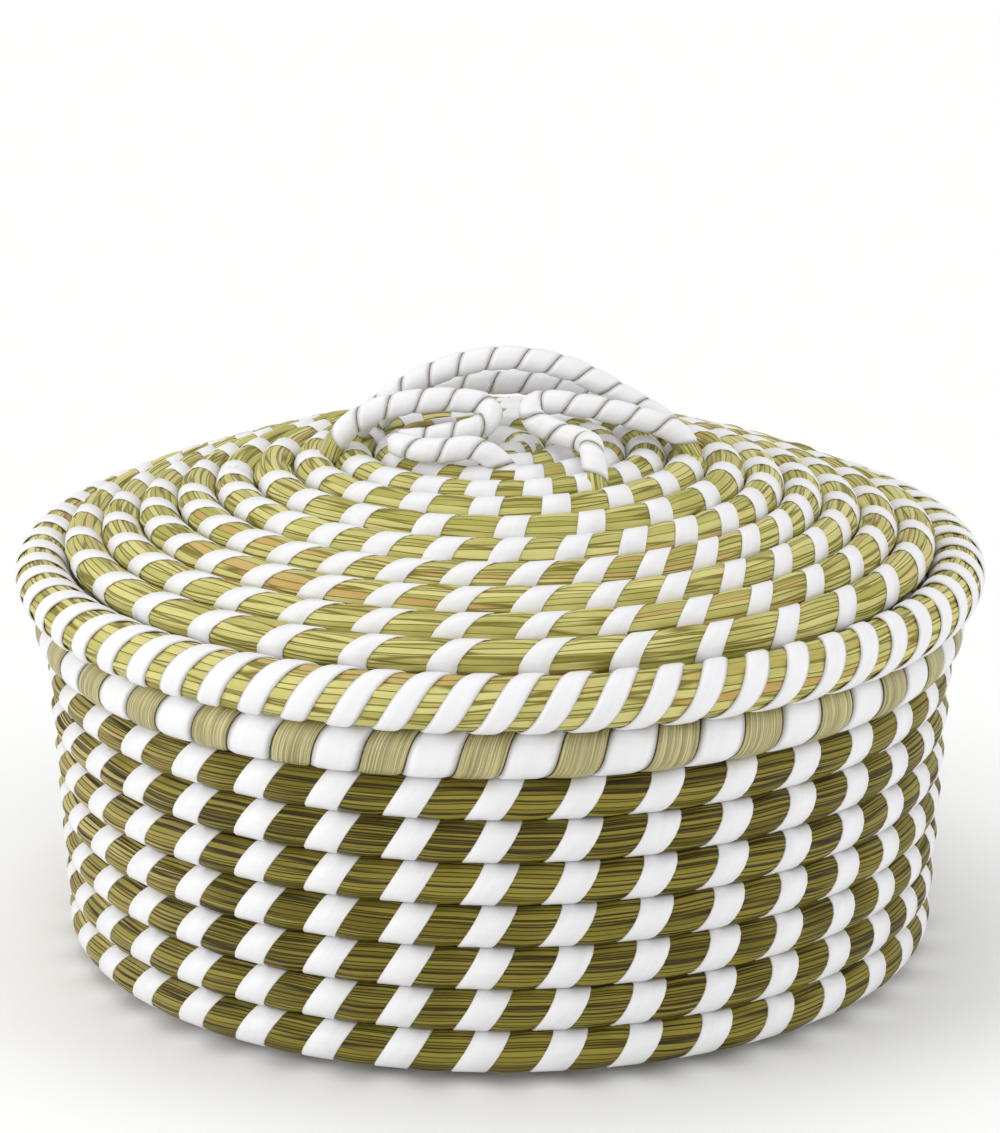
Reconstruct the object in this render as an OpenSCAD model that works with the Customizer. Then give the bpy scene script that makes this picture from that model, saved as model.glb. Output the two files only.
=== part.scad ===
/* [Basket] */
// Outer radius of the basket at its rim
rim_outer_radius = 140; // [110:1:170]
// Height of the basket from the floor to the top of its rim
basket_height = 108.9; // [80:0.1:140]
// Radius of the wrapped rim bundle
rim_tube = 7.5; // [6:0.1:10]
// Radius of the grass bundle of the wall and base
grass_tube = 6.2; // [5:0.1:7]
// Distance between one row of the bundle and the next
row_pitch = 12.9; // [11:0.1:16]
// Offset of each wall row outward from the row below it
row_offset = 0.8; // [0:0.1:2]
// Depth of the flat worn on the underside
foot_flat = 0.5; // [0.2:0.1:1]

/* [Lid] */
// Overhang of the lid's rim past the basket's rim
lid_overhang = 5.7; // [3:0.1:8]
// Radius of the bound lid rim bundle
lid_rim_tube = 8.5; // [6:0.1:10]
// Radius of the grass bundle of the lid
lid_tube = 5.75; // [5:0.05:7]
// Distance between one row of the lid and the next
lid_pitch = 12; // [11:0.1:14]
// Angle that the lid slopes at near its rim, in degrees
slope_angle = 20.5; // [5:1:30]
// Radius inside which the lid flattens
lid_flat_radius = 72; // [30:1:90]
// Radius of the bundle of the lid's inner flange
flange_tube = 6.7; // [5:0.1:8]
// Height of the outermost lid row above the middle of the lid rim
lid_shoulder = 8.5; // [6:0.1:10]
// Free gap between resting neighbours
clearance = 0.3; // [0.2:0.1:0.6]

/* [Handle] */
// Radius of the wrapped cords of the handle
cord_tube = 3.7; // [3:0.1:5]
// Distance that the handle spans across the lid
handle_span = 100; // [60:1:140]
// Distance that the handle spreads from back to front
handle_spread = 50; // [30:1:80]
// Height of the middle of the arch above the cords that lie on the lid
handle_rise = 18.9; // [12:0.1:30]
// Rings along each cord of the handle
cord_rings = 24; // [16:1:24]
// Sides of each cord of the handle
cord_sides = 8; // [6:1:12]

/* [Binding] */
// Stitches in one wall row
stitches = 36; // [24:1:48]
// Stitches in one lid row
lid_row_stitches = 32; // [20:1:40]
// Width of a white stitch along a wall row
stitch_width = 10.2; // [6:0.1:14]
// Width of a white stitch along a lid row
lid_stitch_width = 8.4; // [6:0.1:12]
// Sideways run of a stitch from its middle to its end
stitch_run = 2.8; // [0:0.1:6]
// Half of the angle that a stitch covers round its bundle
stitch_reach = 58; // [40:1:62]
// Gap between a stitch and its bundle
stitch_gap = 0.4; // [0.3:0.1:0.6]
// Thickness of a stitch
strip = 0.5; // [0.3:0.1:1]
// Steps along a stitch
stitch_steps = 3; // [3:1:5]
// Turn of the first stitch of the wall, in degrees
stitch_turn = -2.8; // [-5:0.1:5]
// Turn of each wall row's stitches past the row below, in degrees
stitch_drift = 0.3; // [0:0.01:2]
// Pairs of white and natural wraps on the basket rim
rim_wrap_pairs = 32; // [20:1:40]
// Share of a pair that is white
rim_white_share = 0.52; // [0.3:0.01:0.7]
// Wraps on the lid rim
lid_wraps = 64; // [50:1:80]
// Share of the lid rim that the wraps cover
lid_wrap_share = 0.58; // [0.3:0.01:0.8]

/* [Liner and pad] */
// Distance of the liner's upper edge below the top of the rim
liner_drop = 36.3; // [30:0.1:60]
// Thickness of the liner cloth
cloth = 1.2; // [0.8:0.1:2]
// Folds round the liner
liner_folds = 14; // [8:1:20]
// Depth of the liner's folds
fold_depth = 3.2; // [1:0.1:5]
// Gap round the pad inside the wall
pad_room = 2.7; // [1:0.1:8]
// Radius of the padded edge roll
roll_tube = 5; // [3:0.1:7]
// Swell of the pad's upper cover above its edge
pad_crown = 7; // [4:0.5:14]
// Depth of the sewn channels of the pad
channel_depth = 5.4; // [2:0.1:6]
// Width of the sewn channels of the pad
channel_width = 7; // [4:0.5:12]
// Turn of the sewn cross
seam_turn = 41; // [0:1:45]

/* [Colours] */
// Olive grass
grass_colour = "#7c7a35";
// Light grass of the lid
lid_grass_colour = "#a7a457";
// White binding strip
white_colour = "#efefee";
// Pale straw strip
straw_colour = "#cfc98f";
// White cloth
cloth_colour = "#f4f3f0";

/* [Hidden] */

full_turn = 360;
half_turn = 180;
quarter_turn = 90;
arc_steps = 96;
tube_steps = 48;
// The passing turns are drawn in by the slip and run into the level turns by the lap
slip = 0.08;
lap = 1.2;
// Turn past the end of the base's bundle at which the wall's bundle starts
butt_turn = 0.1;
// Room between two rows of one bundle, and the room that a rim's core leaves for its wraps
row_room = 0.6;
corner_room = 1.5;
wrap_room = 0.8;
wrap_strip = 0.55;
wrap_break = 0.1;
// How far the rim stands out from the top row, and the lid's and flange's places from the rims
rim_overhang = 2.6;
lid_edge_inset = 12.8;
flange_inset = 10.2;
flange_drop = 5;
flange_depth = 18.5;
flange_room = 1.1;
rim_ring = [rim_outer_radius - rim_tube, basket_height - rim_tube];
top_gap = rim_tube + grass_tube + row_room;
top_row_radius = rim_ring[0] - rim_overhang;
top_row_height = rim_ring[1] - sqrt(pow(top_gap, 2) - pow(rim_ring[0] - top_row_radius, 2));
row_rise = sqrt(pow(row_pitch, 2) - pow(row_offset, 2));
base_level = grass_tube - foot_flat;
base_top = base_level + grass_tube;

// As many rows as fill the wall, the base and the lid
wall_rows = floor((top_row_height - base_level) / row_rise) + 1;
function wall_ring(k) = [
    top_row_radius - row_offset * (wall_rows - k),
    top_row_height - row_rise * (wall_rows - k)
];
first_wall_ring = wall_ring(1);
first_lift = first_wall_ring[1] - base_level;
base_edge = first_wall_ring[0] - sqrt(pow(row_pitch + corner_room, 2) - pow(first_lift, 2));
start_bend = grass_tube + row_room;
base_rows = floor((base_edge - start_bend) / (2 * grass_tube + row_room)) + 1;
base_pitch = (base_edge - start_bend) / (base_rows - 1);
base_rings = [for (k = [0 : base_rows - 1]) [start_bend + base_pitch * k, base_level]];
// A third number marks a ring that its bundle leaves by a lifting turn, which starts that much higher
corner_ring = concat(base_rings[base_rows - 1], [foot_flat]);
wall_rings = [for (k = [0 : wall_rows]) k == 0 ? corner_ring : wall_ring(k)];

lid_seat = lid_rim_tube + rim_tube + clearance;
lid_rim_radius = rim_outer_radius + lid_overhang - lid_rim_tube;
lid_level = rim_ring[1] + sqrt(pow(lid_seat, 2) - pow(lid_rim_radius - rim_ring[0], 2));
lid_edge = [lid_rim_radius - lid_edge_inset, lid_level + lid_shoulder];
function slope_at(radius) = slope_angle * (1 - exp(-pow(radius / lid_flat_radius, 3)));
function inward(ring) = ring + lid_pitch * [-cos(slope_at(ring[0])), sin(slope_at(ring[0]))];
function lid_rings_out(ring) = ring[0] < lid_tube + row_room ? []
    : concat(lid_rings_out(inward(ring)), [ring]);
lid_rings = lid_rings_out(lid_edge);
lid_rows = len(lid_rings);
lid_top = lid_rings[0][1] + lid_tube;
flange_rings = [
    [rim_ring[0] - flange_inset, lid_level - flange_drop, 0],
    [rim_ring[0] - rim_tube - flange_tube - flange_room, lid_level - flange_depth]
];

points_in_turn = 72;
taper_steps = 6;
taper_turn = 18;
taper_lap = 0.6;
taper_room = 0.1;
function fade(t) = t <= 0.5 ? 2 * t * t : 1 - 2 * pow(1 - t, 2);
function unit(v) = v / norm(v);

// The ring that a bundle follows at a given turn, level in front and passing behind
function lifts(ring) = len(ring) == 3;
function passing_ring(low, high, turn) =
    let (
        off = (low[0] - high[0]) / 2,
        bend = (low[0] + high[0]) / 2,
        own_turn = turn + asin(off * sin(turn) / bend),
        climb = lifts(low) ? (turn < quarter_turn ? 0 : 1 - sin(own_turn)) : (1 - cos(own_turn)) / 2
    )
    [off * cos(turn) + sqrt(pow(bend, 2) - pow(off * sin(turn), 2)), low[1] + (high[1] - low[1]) * climb];
function ring_at(rings, k, turn) =
    turn % full_turn >= half_turn || k == len(rings) - 1 ? rings[k]
    : passing_ring(rings[k], rings[k + 1], turn % full_turn);
function coil_points(rings) = [for (k = [0 : len(rings) - 1]) for (i = [0 : points_in_turn - 1])
    let (turn = half_turn + full_turn / points_in_turn * i, ring = ring_at(rings, k, turn))
    if (k < len(rings) - 1 || turn < full_turn)
        [ring[0] * cos(turn), ring[0] * sin(turn), ring[1]]
];
// The least gap between a bundle and the next row of itself, measured on points
function least_gap(rings, tube) = let (p = coil_points(rings), row = points_in_turn)
    min([for (i = [0 : len(p) - row - 3]) for (j = [row - 2 : row + 2]) norm(p[i] - p[i + j])]) - 2 * tube;

// One round bundle bent over a part of a circle that stands square on the axis
module bundle_arc(ring, from, to, tube) {
    translate([0, 0, ring[1]])
        rotate([0, 0, from])
            rotate_extrude(angle = to - from, $fn = arc_steps)
                translate([ring[0], 0])
                    circle(r = tube, $fn = tube_steps);
}

// The half turn in which the bundle passes from one row to the next
module passing_turn(low, high, tube) {
    rise = high[1] - low[1];
    span = high[0] + low[0];
    bend = norm([span, rise]) / 2;
    lap_turn = lap / bend * 180 / PI;
    translate([(low[0] - high[0]) / 2, 0, (low[1] + high[1]) / 2])
        rotate([0, atan2(rise, span), 0])
            rotate([0, 0, -lap_turn])
                rotate_extrude(angle = half_turn + 2 * lap_turn, $fn = arc_steps)
                    translate([bend, 0])
                        circle(r = tube - slip, $fn = tube_steps);
}

// The half turn in which the bundle leaves a flat run: level for a quarter, then climbing or sinking
module lifting_turn(low, high, tube, joined) {
    off = (low[0] - high[0]) / 2;
    bend = (low[0] + high[0]) / 2;
    lift = low[2];
    climb = atan2(high[1] - low[1] - lift, bend);
    lap_turn = lap / bend * 180 / PI;
    difference() {
        translate([off, 0, 0])
            bundle_arc([bend, low[1]], joined ? -lap_turn : butt_turn, quarter_turn, tube - slip);
        below_floor();
    }
    translate([off, 0, high[1]])
        rotate([-climb, 0, 0])
            bundle_arc(
                [bend / cos(climb), 0],
                quarter_turn - lap_turn,
                half_turn + lap_turn,
                tube - 2 * slip
            );
}

// One unbroken bundle: a level half turn on each ring and a passing half turn between rings
module coiled_bundle(rings, tube, first = 0) {
    last = len(rings) - 1;
    for (k = [first : last])
        bundle_arc(rings[k], half_turn, full_turn, tube);
    for (k = [0 : last - 1])
        if (lifts(rings[k]))
            lifting_turn(rings[k], rings[k + 1], tube, k >= first);
        else
            passing_turn(rings[k], rings[k + 1], tube);
}

// The tapered end of a bundle, drawn in step by step against the thicker coil next to it
module tapered_end(ring, beside, beside_tube, tube) {
    way = unit(ring - beside);
    pitch = 2 * tube + row_room;
    for (i = [1 : taper_steps]) {
        end_tube = pitch / 2 * (1 - fade(taper_turn * i / half_turn)) - clearance - taper_room;
        from = taper_turn * (i - 1) - taper_lap;
        reach = beside_tube + row_room + taper_room * i + end_tube;
        bundle_arc(beside + way * reach, from, taper_turn * i, end_tube);
    }
}

// Closed bands that wrap a ring coil, one for each turn in the list
module wraps(ring, inner, outer, turns, width) {
    for (turn = turns)
        translate([0, 0, ring[1]])
            rotate([0, 0, turn])
                rotate_extrude(angle = width, $fn = arc_steps)
                    translate([ring[0], 0])
                        difference() {
                            circle(r = outer, $fn = tube_steps);
                            circle(r = inner, $fn = tube_steps);
                        }
}

// The corners of a stitch lie out further by this share, so that its flat sides clear the bundle
stitch_chord = cos(stitch_reach / stitch_steps);

// Corners of one slanted stitch that lies over its bundle, four to a step
function stitch_corners(ring, turn, tube, facing, width) = [
    for (i = [0 : stitch_steps])
        for (side = [-1, 1])
            for (skin = [stitch_gap, stitch_gap + strip])
                let (
                    share = 2 * i / stitch_steps - 1,
                    along = side * width / 2 + stitch_run * share,
                    out = (tube + skin) / stitch_chord,
                    lift = facing + stitch_reach * share,
                    radius = ring[0] + out * cos(lift),
                    around = turn + along / radius * 180 / PI
                )
                [radius * cos(around), radius * sin(around), ring[1] + out * sin(lift)]
];
function quad(a, b, c, d) = [[a, b, c], [a, c, d]];
function stitch_faces(n) = concat(
    [for (i = [0 : stitch_steps - 1])
        let (p = n + 4 * i, q = p + 4)
        each concat(
            quad(p, p + 2, q + 2, q),
            quad(p + 1, q + 1, q + 3, p + 3),
            quad(p, q, q + 1, p + 1),
            quad(p + 2, p + 3, q + 3, q + 2)
        )
    ],
    quad(n, n + 1, n + 3, n + 2),
    let (e = n + 4 * stitch_steps) quad(e, e + 2, e + 3, e + 1)
);
stitch_points = 4 * (stitch_steps + 1);

// All the stitches of some rows as one set of strips
module stitch_rows(places, tube, width) {
    polyhedron(
        points = [for (p = places) each stitch_corners(p[0], p[1], tube, p[2], width)],
        faces = [for (i = [0 : len(places) - 1]) each stitch_faces(i * stitch_points)],
        convexity = 10
    );
}

// A smooth point of a path through the given stations
function blend(a, b, c, d, t) = 0.5 * (2 * b + (c - a) * t + (2 * a - 5 * b + 4 * c - d) * t * t
    + (3 * b - a - 3 * c + d) * t * t * t);
function station(path, i) = path[max(0, min(len(path) - 1, i))];
function path_point(path, s) = let (i = min(floor(s), len(path) - 2))
    blend(station(path, i - 1), station(path, i), station(path, i + 1), station(path, i + 2), s - i);
function path_way(path, s) = let (e = 0.01, n = len(path) - 1)
    unit(path_point(path, min(s + e, n)) - path_point(path, max(s - e, 0)));

// A round cord that follows a path
module cord(path, tube) {
    last = cord_rings - 1;
    run = len(path) - 1;
    points = [for (i = [0 : last])
        let (
            s = run * i / last,
            middle = path_point(path, s),
            way = path_way(path, s),
            side = unit(cross(way, [0.25, 1, 0.1])),
            up = cross(side, way)
        )
        for (j = [0 : cord_sides - 1])
            let (turn = full_turn * j / cord_sides)
            middle + tube * (cos(turn) * side + sin(turn) * up)
    ];
    ends = [for (i = [0, last]) path_point(path, run * i / last)];
    n = cord_sides * cord_rings;
    sides = [for (i = [0 : last - 1]) for (j = [0 : cord_sides - 1])
        let (a = cord_sides * i + j, b = cord_sides * i + (j + 1) % cord_sides)
        each quad(a, b, b + cord_sides, a + cord_sides)
    ];
    caps = [for (j = [0 : cord_sides - 1])
        let (k = (j + 1) % cord_sides, e = cord_sides * last)
        each [[n, k, j], [n + 1, e + j, e + k]]
    ];
    polyhedron(points = concat(points, ends), faces = concat(sides, caps), convexity = 6);
}

// The flat spiral of the base, worn flat where it stands
module base_coil() {
    color(grass_colour)
        difference() {
            coiled_bundle(base_rings, grass_tube);
            below_floor();
        }
}
// What is worn off under the basket
module below_floor() {
    translate([0, 0, -grass_tube])
        cube([2 * rim_outer_radius, 2 * rim_outer_radius, 2 * grass_tube], center = true);
}

// The wall: the same bundle, which leaves the base and winds up in rows to the rim
module wall_coil() {
    color(grass_colour) {
        coiled_bundle(wall_rings, grass_tube, 1);
        tapered_end(wall_rings[wall_rows], rim_ring, rim_tube, grass_tube);
    }
}

// The white stitches on the outside of the wall
module wall_stitches() {
    color(white_colour)
        stitch_rows(
            [for (k = [1 : wall_rows]) for (i = [1 : stitches])
                let (turn = full_turn / stitches * i + stitch_turn + stitch_drift * k)
                if (turn >= half_turn || k < wall_rows)
                    [ring_at(wall_rings, k, turn), turn, 0]
            ],
            grass_tube,
            stitch_width
        );
}
// The thick bundle of the rim
module rim_coil() {
    color(straw_colour)
        bundle_arc(rim_ring, 0, full_turn, rim_tube - wrap_room);
}
module rim_wraps_white() {
    color(white_colour)
        wraps(rim_ring, rim_tube - wrap_strip, rim_tube,
            [for (i = [0 : rim_wrap_pairs - 1]) full_turn / rim_wrap_pairs * i + rim_wrap_turn],
            full_turn / rim_wrap_pairs * rim_white_share - wrap_break);
}
module rim_wraps_natural() {
    color(straw_colour)
        wraps(rim_ring, rim_tube - wrap_strip, rim_tube,
            [for (i = [0 : rim_wrap_pairs - 1])
                full_turn / rim_wrap_pairs * (i + rim_white_share) + rim_wrap_turn
            ],
            full_turn / rim_wrap_pairs * (1 - rim_white_share) - wrap_break);
}

/* Liner: a round cloth floor and a folded side */
liner_height = basket_height - liner_drop;
liner_foot = base_top + clearance;
liner_foot_room = 2.2;
liner_top_room = 1.2;
liner_row = floor((liner_height - first_wall_ring[1]) / row_rise) + 1;
liner_foot_radius = first_wall_ring[0] - grass_tube - liner_foot_room;
liner_top_radius = wall_ring(liner_row)[0] - grass_tube - liner_top_room;
liner_floor_room = 0.4;
liner_floor_radius = liner_foot_radius - fold_depth - cloth - liner_floor_room;
// Shares of the fold depth: at the liner's foot, as its mean, and in its quick and slow folds
foot_share = 0.35;
mean_share = 0.5;
quick_share = 0.3;
slow_share = 0.2;
slow_folds = 9;
slow_turn = 40;
liner_columns = 84;
liner_levels = 6;
function fold_share(turn) =
    mean_share + quick_share * sin(liner_folds * turn) + slow_share * sin(slow_folds * turn + slow_turn);
function liner_radius(turn, share) =
    liner_foot_radius + (liner_top_radius - liner_foot_radius) * share
    - fold_depth * (foot_share + (1 - foot_share) * share) * fold_share(turn);
function liner_point(turn, share, inset) =
    let (
        radius = liner_radius(turn, share) - inset,
        level = liner_foot + (liner_height - liner_foot) * share
    )
    [radius * cos(turn), radius * sin(turn), level];
module liner_side() {
    rows = liner_levels + 1;
    cols = liner_columns;
    points = [for (inset = [0, cloth]) for (i = [0 : liner_levels]) for (j = [0 : cols - 1])
        liner_point(full_turn * j / cols, i / liner_levels, inset)
    ];
    half = rows * cols;
    skins = [for (i = [0 : liner_levels - 1]) for (j = [0 : cols - 1])
        let (a = cols * i + j, b = cols * i + (j + 1) % cols)
        each concat(
            quad(a, a + cols, b + cols, b),
            quad(half + a, half + b, half + b + cols, half + a + cols)
        )
    ];
    rims = [for (j = [0 : cols - 1])
        let (k = (j + 1) % cols, e = cols * liner_levels)
        each concat(
            quad(j, k, half + k, half + j),
            quad(e + j, half + e + j, half + e + k, e + k)
        )
    ];
    color(cloth_colour)
        polyhedron(points = points, faces = concat(skins, rims), convexity = 10);
}
module liner_bottom() {
    color(cloth_colour)
        translate([0, 0, liner_foot])
            cylinder(r = liner_floor_radius, h = cloth, $fn = arc_steps);
}

/* Pad */
cover_gap = 0.2;
pad_body = 2.2;
lower_crown = 1.5;
upper_depth = 1;
lower_depth = 0.4;
pad_level = liner_height + clearance + roll_tube + cover_gap;
pad_radius = wall_ring(wall_rows - 1)[0] - grass_tube - pad_room;
roll_ring = [pad_radius - roll_tube, pad_level];
face_radius = roll_ring[0] - roll_tube - clearance;
crown_power = 8;
pad_columns = 56;
pad_circles = 9;
function seam_distance(x, y) = min(
    abs(x * sin(seam_turn) - y * cos(seam_turn)),
    abs(x * sin(seam_turn) + y * cos(seam_turn))
);
function channel(x, y) = channel_depth * exp(-pow(seam_distance(x, y) / channel_width, 2));
function pad_height(radius, turn, crown, depth) =
    let (share = radius / face_radius)
    crown * (1 - pow(share, crown_power)) + pad_body
    - depth * channel(radius * cos(turn), radius * sin(turn)) * (1 - pow(share, crown_power));

// One face of the pad, crowned between its sewn channels; the sign says which way it swells
module pad_face(crown, depth, level, way) {
    cols = pad_columns;
    n = pad_circles * cols;
    radii = [for (i = [1 : pad_circles]) face_radius * sin(quarter_turn * i / pad_circles)];
    crowned = [for (radius = radii) for (j = [0 : cols - 1])
        let (turn = full_turn * j / cols)
        [radius * cos(turn), radius * sin(turn), level + way * pad_height(radius, turn, crown, depth)]
    ];
    flat = [for (j = [0 : cols - 1])
        let (turn = full_turn * j / cols)
        [face_radius * cos(turn), face_radius * sin(turn), level]
    ];
    middle = [[0, 0, level + way * pad_height(0, 0, crown, depth)], [0, 0, level]];
    faces = concat(
        [for (i = [0 : pad_circles - 2]) for (j = [0 : cols - 1])
            let (a = cols * i + j, b = cols * i + (j + 1) % cols)
            each quad(a, a + cols, b + cols, b)
        ],
        [for (j = [0 : cols - 1])
            let (k = (j + 1) % cols, rim = n - cols)
            each [
                [n + cols, j, k],
                [rim + j, n + j, n + k], [rim + j, n + k, rim + k],
                [n + cols + 1, n + k, n + j]
            ]
        ]
    );
    turned = way > 0 ? faces : [for (f = faces) [f[0], f[2], f[1]]];
    color(cloth_colour)
        polyhedron(points = concat(crowned, flat, middle), faces = turned, convexity = 6);
}
module pad_upper_cover() {
    pad_face(pad_crown, upper_depth, pad_level + cover_gap, 1);
}
module pad_lower_cover() {
    pad_face(lower_crown, lower_depth, pad_level - cover_gap, -1);
}
module pad_edge_roll() {
    color(cloth_colour)
        bundle_arc(roll_ring, 0, full_turn, roll_tube);
}

/* Lid */
lid_rim_ring = [lid_rim_radius, lid_level];
stitched_lid_rows = 6;
lid_stitch_turn = -4.6;
rim_wrap_turn = 0.5;
lid_wrap_turn = 3;
module lid_coil() {
    color(lid_grass_colour) {
        coiled_bundle(lid_rings, lid_tube);
        tapered_end(lid_rings[lid_rows - 1], lid_rim_ring, lid_rim_tube, lid_tube);
    }
}
module lid_stitches() {
    color(white_colour)
        stitch_rows(
            [for (k = [lid_rows - stitched_lid_rows : lid_rows - 1]) for (i = [1 : lid_row_stitches])
                let (turn = full_turn / lid_row_stitches * i + lid_stitch_turn)
                if (k < lid_rows - 1 || turn >= half_turn)
                    [ring_at(lid_rings, k, turn), turn, quarter_turn - slope_at(lid_rings[k][0])]
            ],
            lid_tube,
            lid_stitch_width
        );
}
module lid_rim_coil() {
    color(lid_grass_colour)
        bundle_arc(lid_rim_ring, 0, full_turn, lid_rim_tube - wrap_room);
}
module lid_rim_wraps() {
    color(white_colour)
        wraps(lid_rim_ring, lid_rim_tube - wrap_strip, lid_rim_tube,
            [for (i = [0 : lid_wraps - 1]) full_turn / lid_wraps * i + lid_wrap_turn],
            full_turn / lid_wraps * lid_wrap_share);
}
module lid_flange_coil() {
    color(lid_grass_colour)
        coiled_bundle(flange_rings, flange_tube);
}

/* Handle: cords bent into an open bow on the middle of the lid */
// Places along a cord, each as shares of the handle's span, spread and rise
arch_path = [
    [-0.41, 0.16, -0.026], [-0.29, 0.16, 0.492], [-0.14, 0.16, 0.862], [0.02, 0.16, 1],
    [0.2, 0.16, 0.836], [0.36, 0.14, 0.413], [0.5, 0.1, -0.037]
];
back_strand_path = [
    [-0.34, 0.4, -0.026], [-0.2, 0.4, 0.28], [0.02, 0.4, 0.439], [0.24, 0.4, 0.28],
    [0.4, 0.36, -0.037]
];
left_loop_path = [
    [-0.47, -0.12, -0.037], [-0.38, -0.12, 0.307], [-0.25, -0.1, 0.466], [-0.11, -0.08, 0.471],
    [-0.03, -0.12, 0.36], [-0.06, -0.24, 0.148], [-0.2, -0.32, 0.026], [-0.3, -0.42, 0.016],
    [-0.2, -0.58, 0.011], [-0.05, -0.6, 0.016]
];
right_loop_path = [
    [0.52, -0.08, -0.037], [0.38, -0.08, 0.228], [0.24, -0.08, 0.386], [0.12, -0.08, 0.439],
    [0.09, -0.16, 0.28], [0.16, -0.26, 0.095], [0.25, -0.4, 0.026], [0.27, -0.62, 0.016]
];
function bow(path) = [for (p = path)
    [handle_span * p[0], handle_spread * p[1], lid_top + cord_tube + handle_rise * p[2]]
];
module handle_arch() {
    color(white_colour)
        cord(bow(arch_path), cord_tube);
}
module handle_back_strand() {
    color(white_colour)
        cord(bow(back_strand_path), cord_tube);
}
module handle_left_loop() {
    color(white_colour)
        cord(bow(left_loop_path), cord_tube);
}
module handle_right_loop() {
    color(white_colour)
        cord(bow(right_loop_path), cord_tube);
}

base_inner_rings = [for (k = [0 : base_rows - 2]) base_rings[k]];
echo(least_gap_basket = least_gap(concat(base_inner_rings, wall_rings), grass_tube));
echo(least_gap_lid = least_gap(lid_rings, lid_tube));
echo(least_gap_flange = least_gap(flange_rings, flange_tube));

base_coil();
wall_coil();
wall_stitches();
rim_coil();
rim_wraps_white();
rim_wraps_natural();
liner_side();
liner_bottom();
pad_upper_cover();
pad_lower_cover();
pad_edge_roll();
lid_coil();
lid_stitches();
lid_rim_coil();
lid_rim_wraps();
lid_flange_coil();
handle_arch();
handle_back_strand();
handle_left_loop();
handle_right_loop();
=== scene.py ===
"""Dresses the coiled grass basket, its domed lid, its loose liner and its quilted pad.

Every bundle, binding strip and cloth is worked out as a surface of two parameters with numpy,
in metres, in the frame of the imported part.
"""

import math

import bmesh
import bpy
import numpy as np
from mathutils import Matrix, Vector


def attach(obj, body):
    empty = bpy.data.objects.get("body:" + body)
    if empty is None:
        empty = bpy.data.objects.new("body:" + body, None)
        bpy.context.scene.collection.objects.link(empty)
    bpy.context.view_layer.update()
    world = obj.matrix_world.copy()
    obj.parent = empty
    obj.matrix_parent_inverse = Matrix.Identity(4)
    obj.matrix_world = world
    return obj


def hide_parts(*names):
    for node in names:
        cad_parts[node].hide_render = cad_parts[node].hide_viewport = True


bl_info = {
    "name": "Coiled Grass Basket",
    "version": (1, 0, 0),
    "blender": (4, 5, 0),
    "location": "View3D > Sidebar > Basket",
    "description": "Builds the bundles, bindings, cloths and handle of a coiled grass basket",
    "category": "Object",
}

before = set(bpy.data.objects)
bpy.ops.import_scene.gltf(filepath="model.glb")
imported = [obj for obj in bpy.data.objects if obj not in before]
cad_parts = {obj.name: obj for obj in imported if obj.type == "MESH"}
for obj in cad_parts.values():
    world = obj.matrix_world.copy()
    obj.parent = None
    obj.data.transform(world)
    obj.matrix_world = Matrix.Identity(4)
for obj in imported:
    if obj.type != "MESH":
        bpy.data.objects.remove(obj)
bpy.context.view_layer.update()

# Turns, in degrees.
FULL = 360.0
HALF = 180.0
TAIL = 160  # how far a bundle runs on beside the rim after its last row

# Rooms and small thicknesses, in metres.
ROW_ROOM = 0.0006  # between a bundle and the rim beside it, and inside the tightest bend
CORNER_ROOM = 0.0015  # added to the pitch where the base turns up into the wall
FULLNESS = 0.00035  # what the blades add to a bundle's radius
TAIL_END = 0.0002  # least radius of a bundle's tail
CORE_DEPTH = 0.0011  # how far a rim's grass lies below the outside of its wraps
BELLY = 0.0002  # how far a bundle is drawn in at a strip, and not half way between two
STRIP_BEVEL = 0.0004  # width of the slope at each side of a flat strip
STRIP_SINK = 0.0001  # how far a strip's edges lie below the bundle's radius
WRAP_THICKNESS = 0.0005
WRAP_CROWN = 0.00012  # how much higher a wrap is in its middle
WRAP_RIDGE = 0.00007  # how far the straws of a wrap stand out and in
WRAP_GAP = 0.0002  # how much narrower a wrap is than its share of the rim
KEEL = 0.0003  # depth of the hidden line that closes a wrap underneath
BUNDLE_FLOOR = 0.00005  # lowest level of the bundles over the floor
STRIP_FLOOR = 0.0001  # lowest level of the strips over the floor
CLOTH_THICKNESS = 0.0007
CLOTH_ROOM = 0.0006  # what the liner's side leaves free at its foot and its edge

# The flange's rows: how far inside the rim's middle or its inner side, and below the lid's rim.
FLANGE_UPPER = (0.0102, 0.005)
FLANGE_LOWER = (0.0011, 0.0185)

# Turn of the first wrap of the basket's rim and of the lid's rim, in degrees.
RIM_PHASE = 82.4
LID_RIM_PHASE = 84.8


# ---------------------------------------------------------------- sizes and colours


def length(name, about, value):
    """A length property in metres."""
    return bpy.props.FloatProperty(
        name=name, description=about, default=value, unit="LENGTH", precision=5
    )


def colour(name, about, value):
    """A colour property, linear."""
    return bpy.props.FloatVectorProperty(
        name=name, description=about, default=value, size=3, min=0, max=1, subtype="COLOR"
    )


def number(name, about, value):
    """A plain number property."""
    return bpy.props.FloatProperty(name=name, description=about, default=value)


def count(name, about, value):
    """A whole number property."""
    return bpy.props.IntProperty(name=name, description=about, default=value, min=1)


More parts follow.
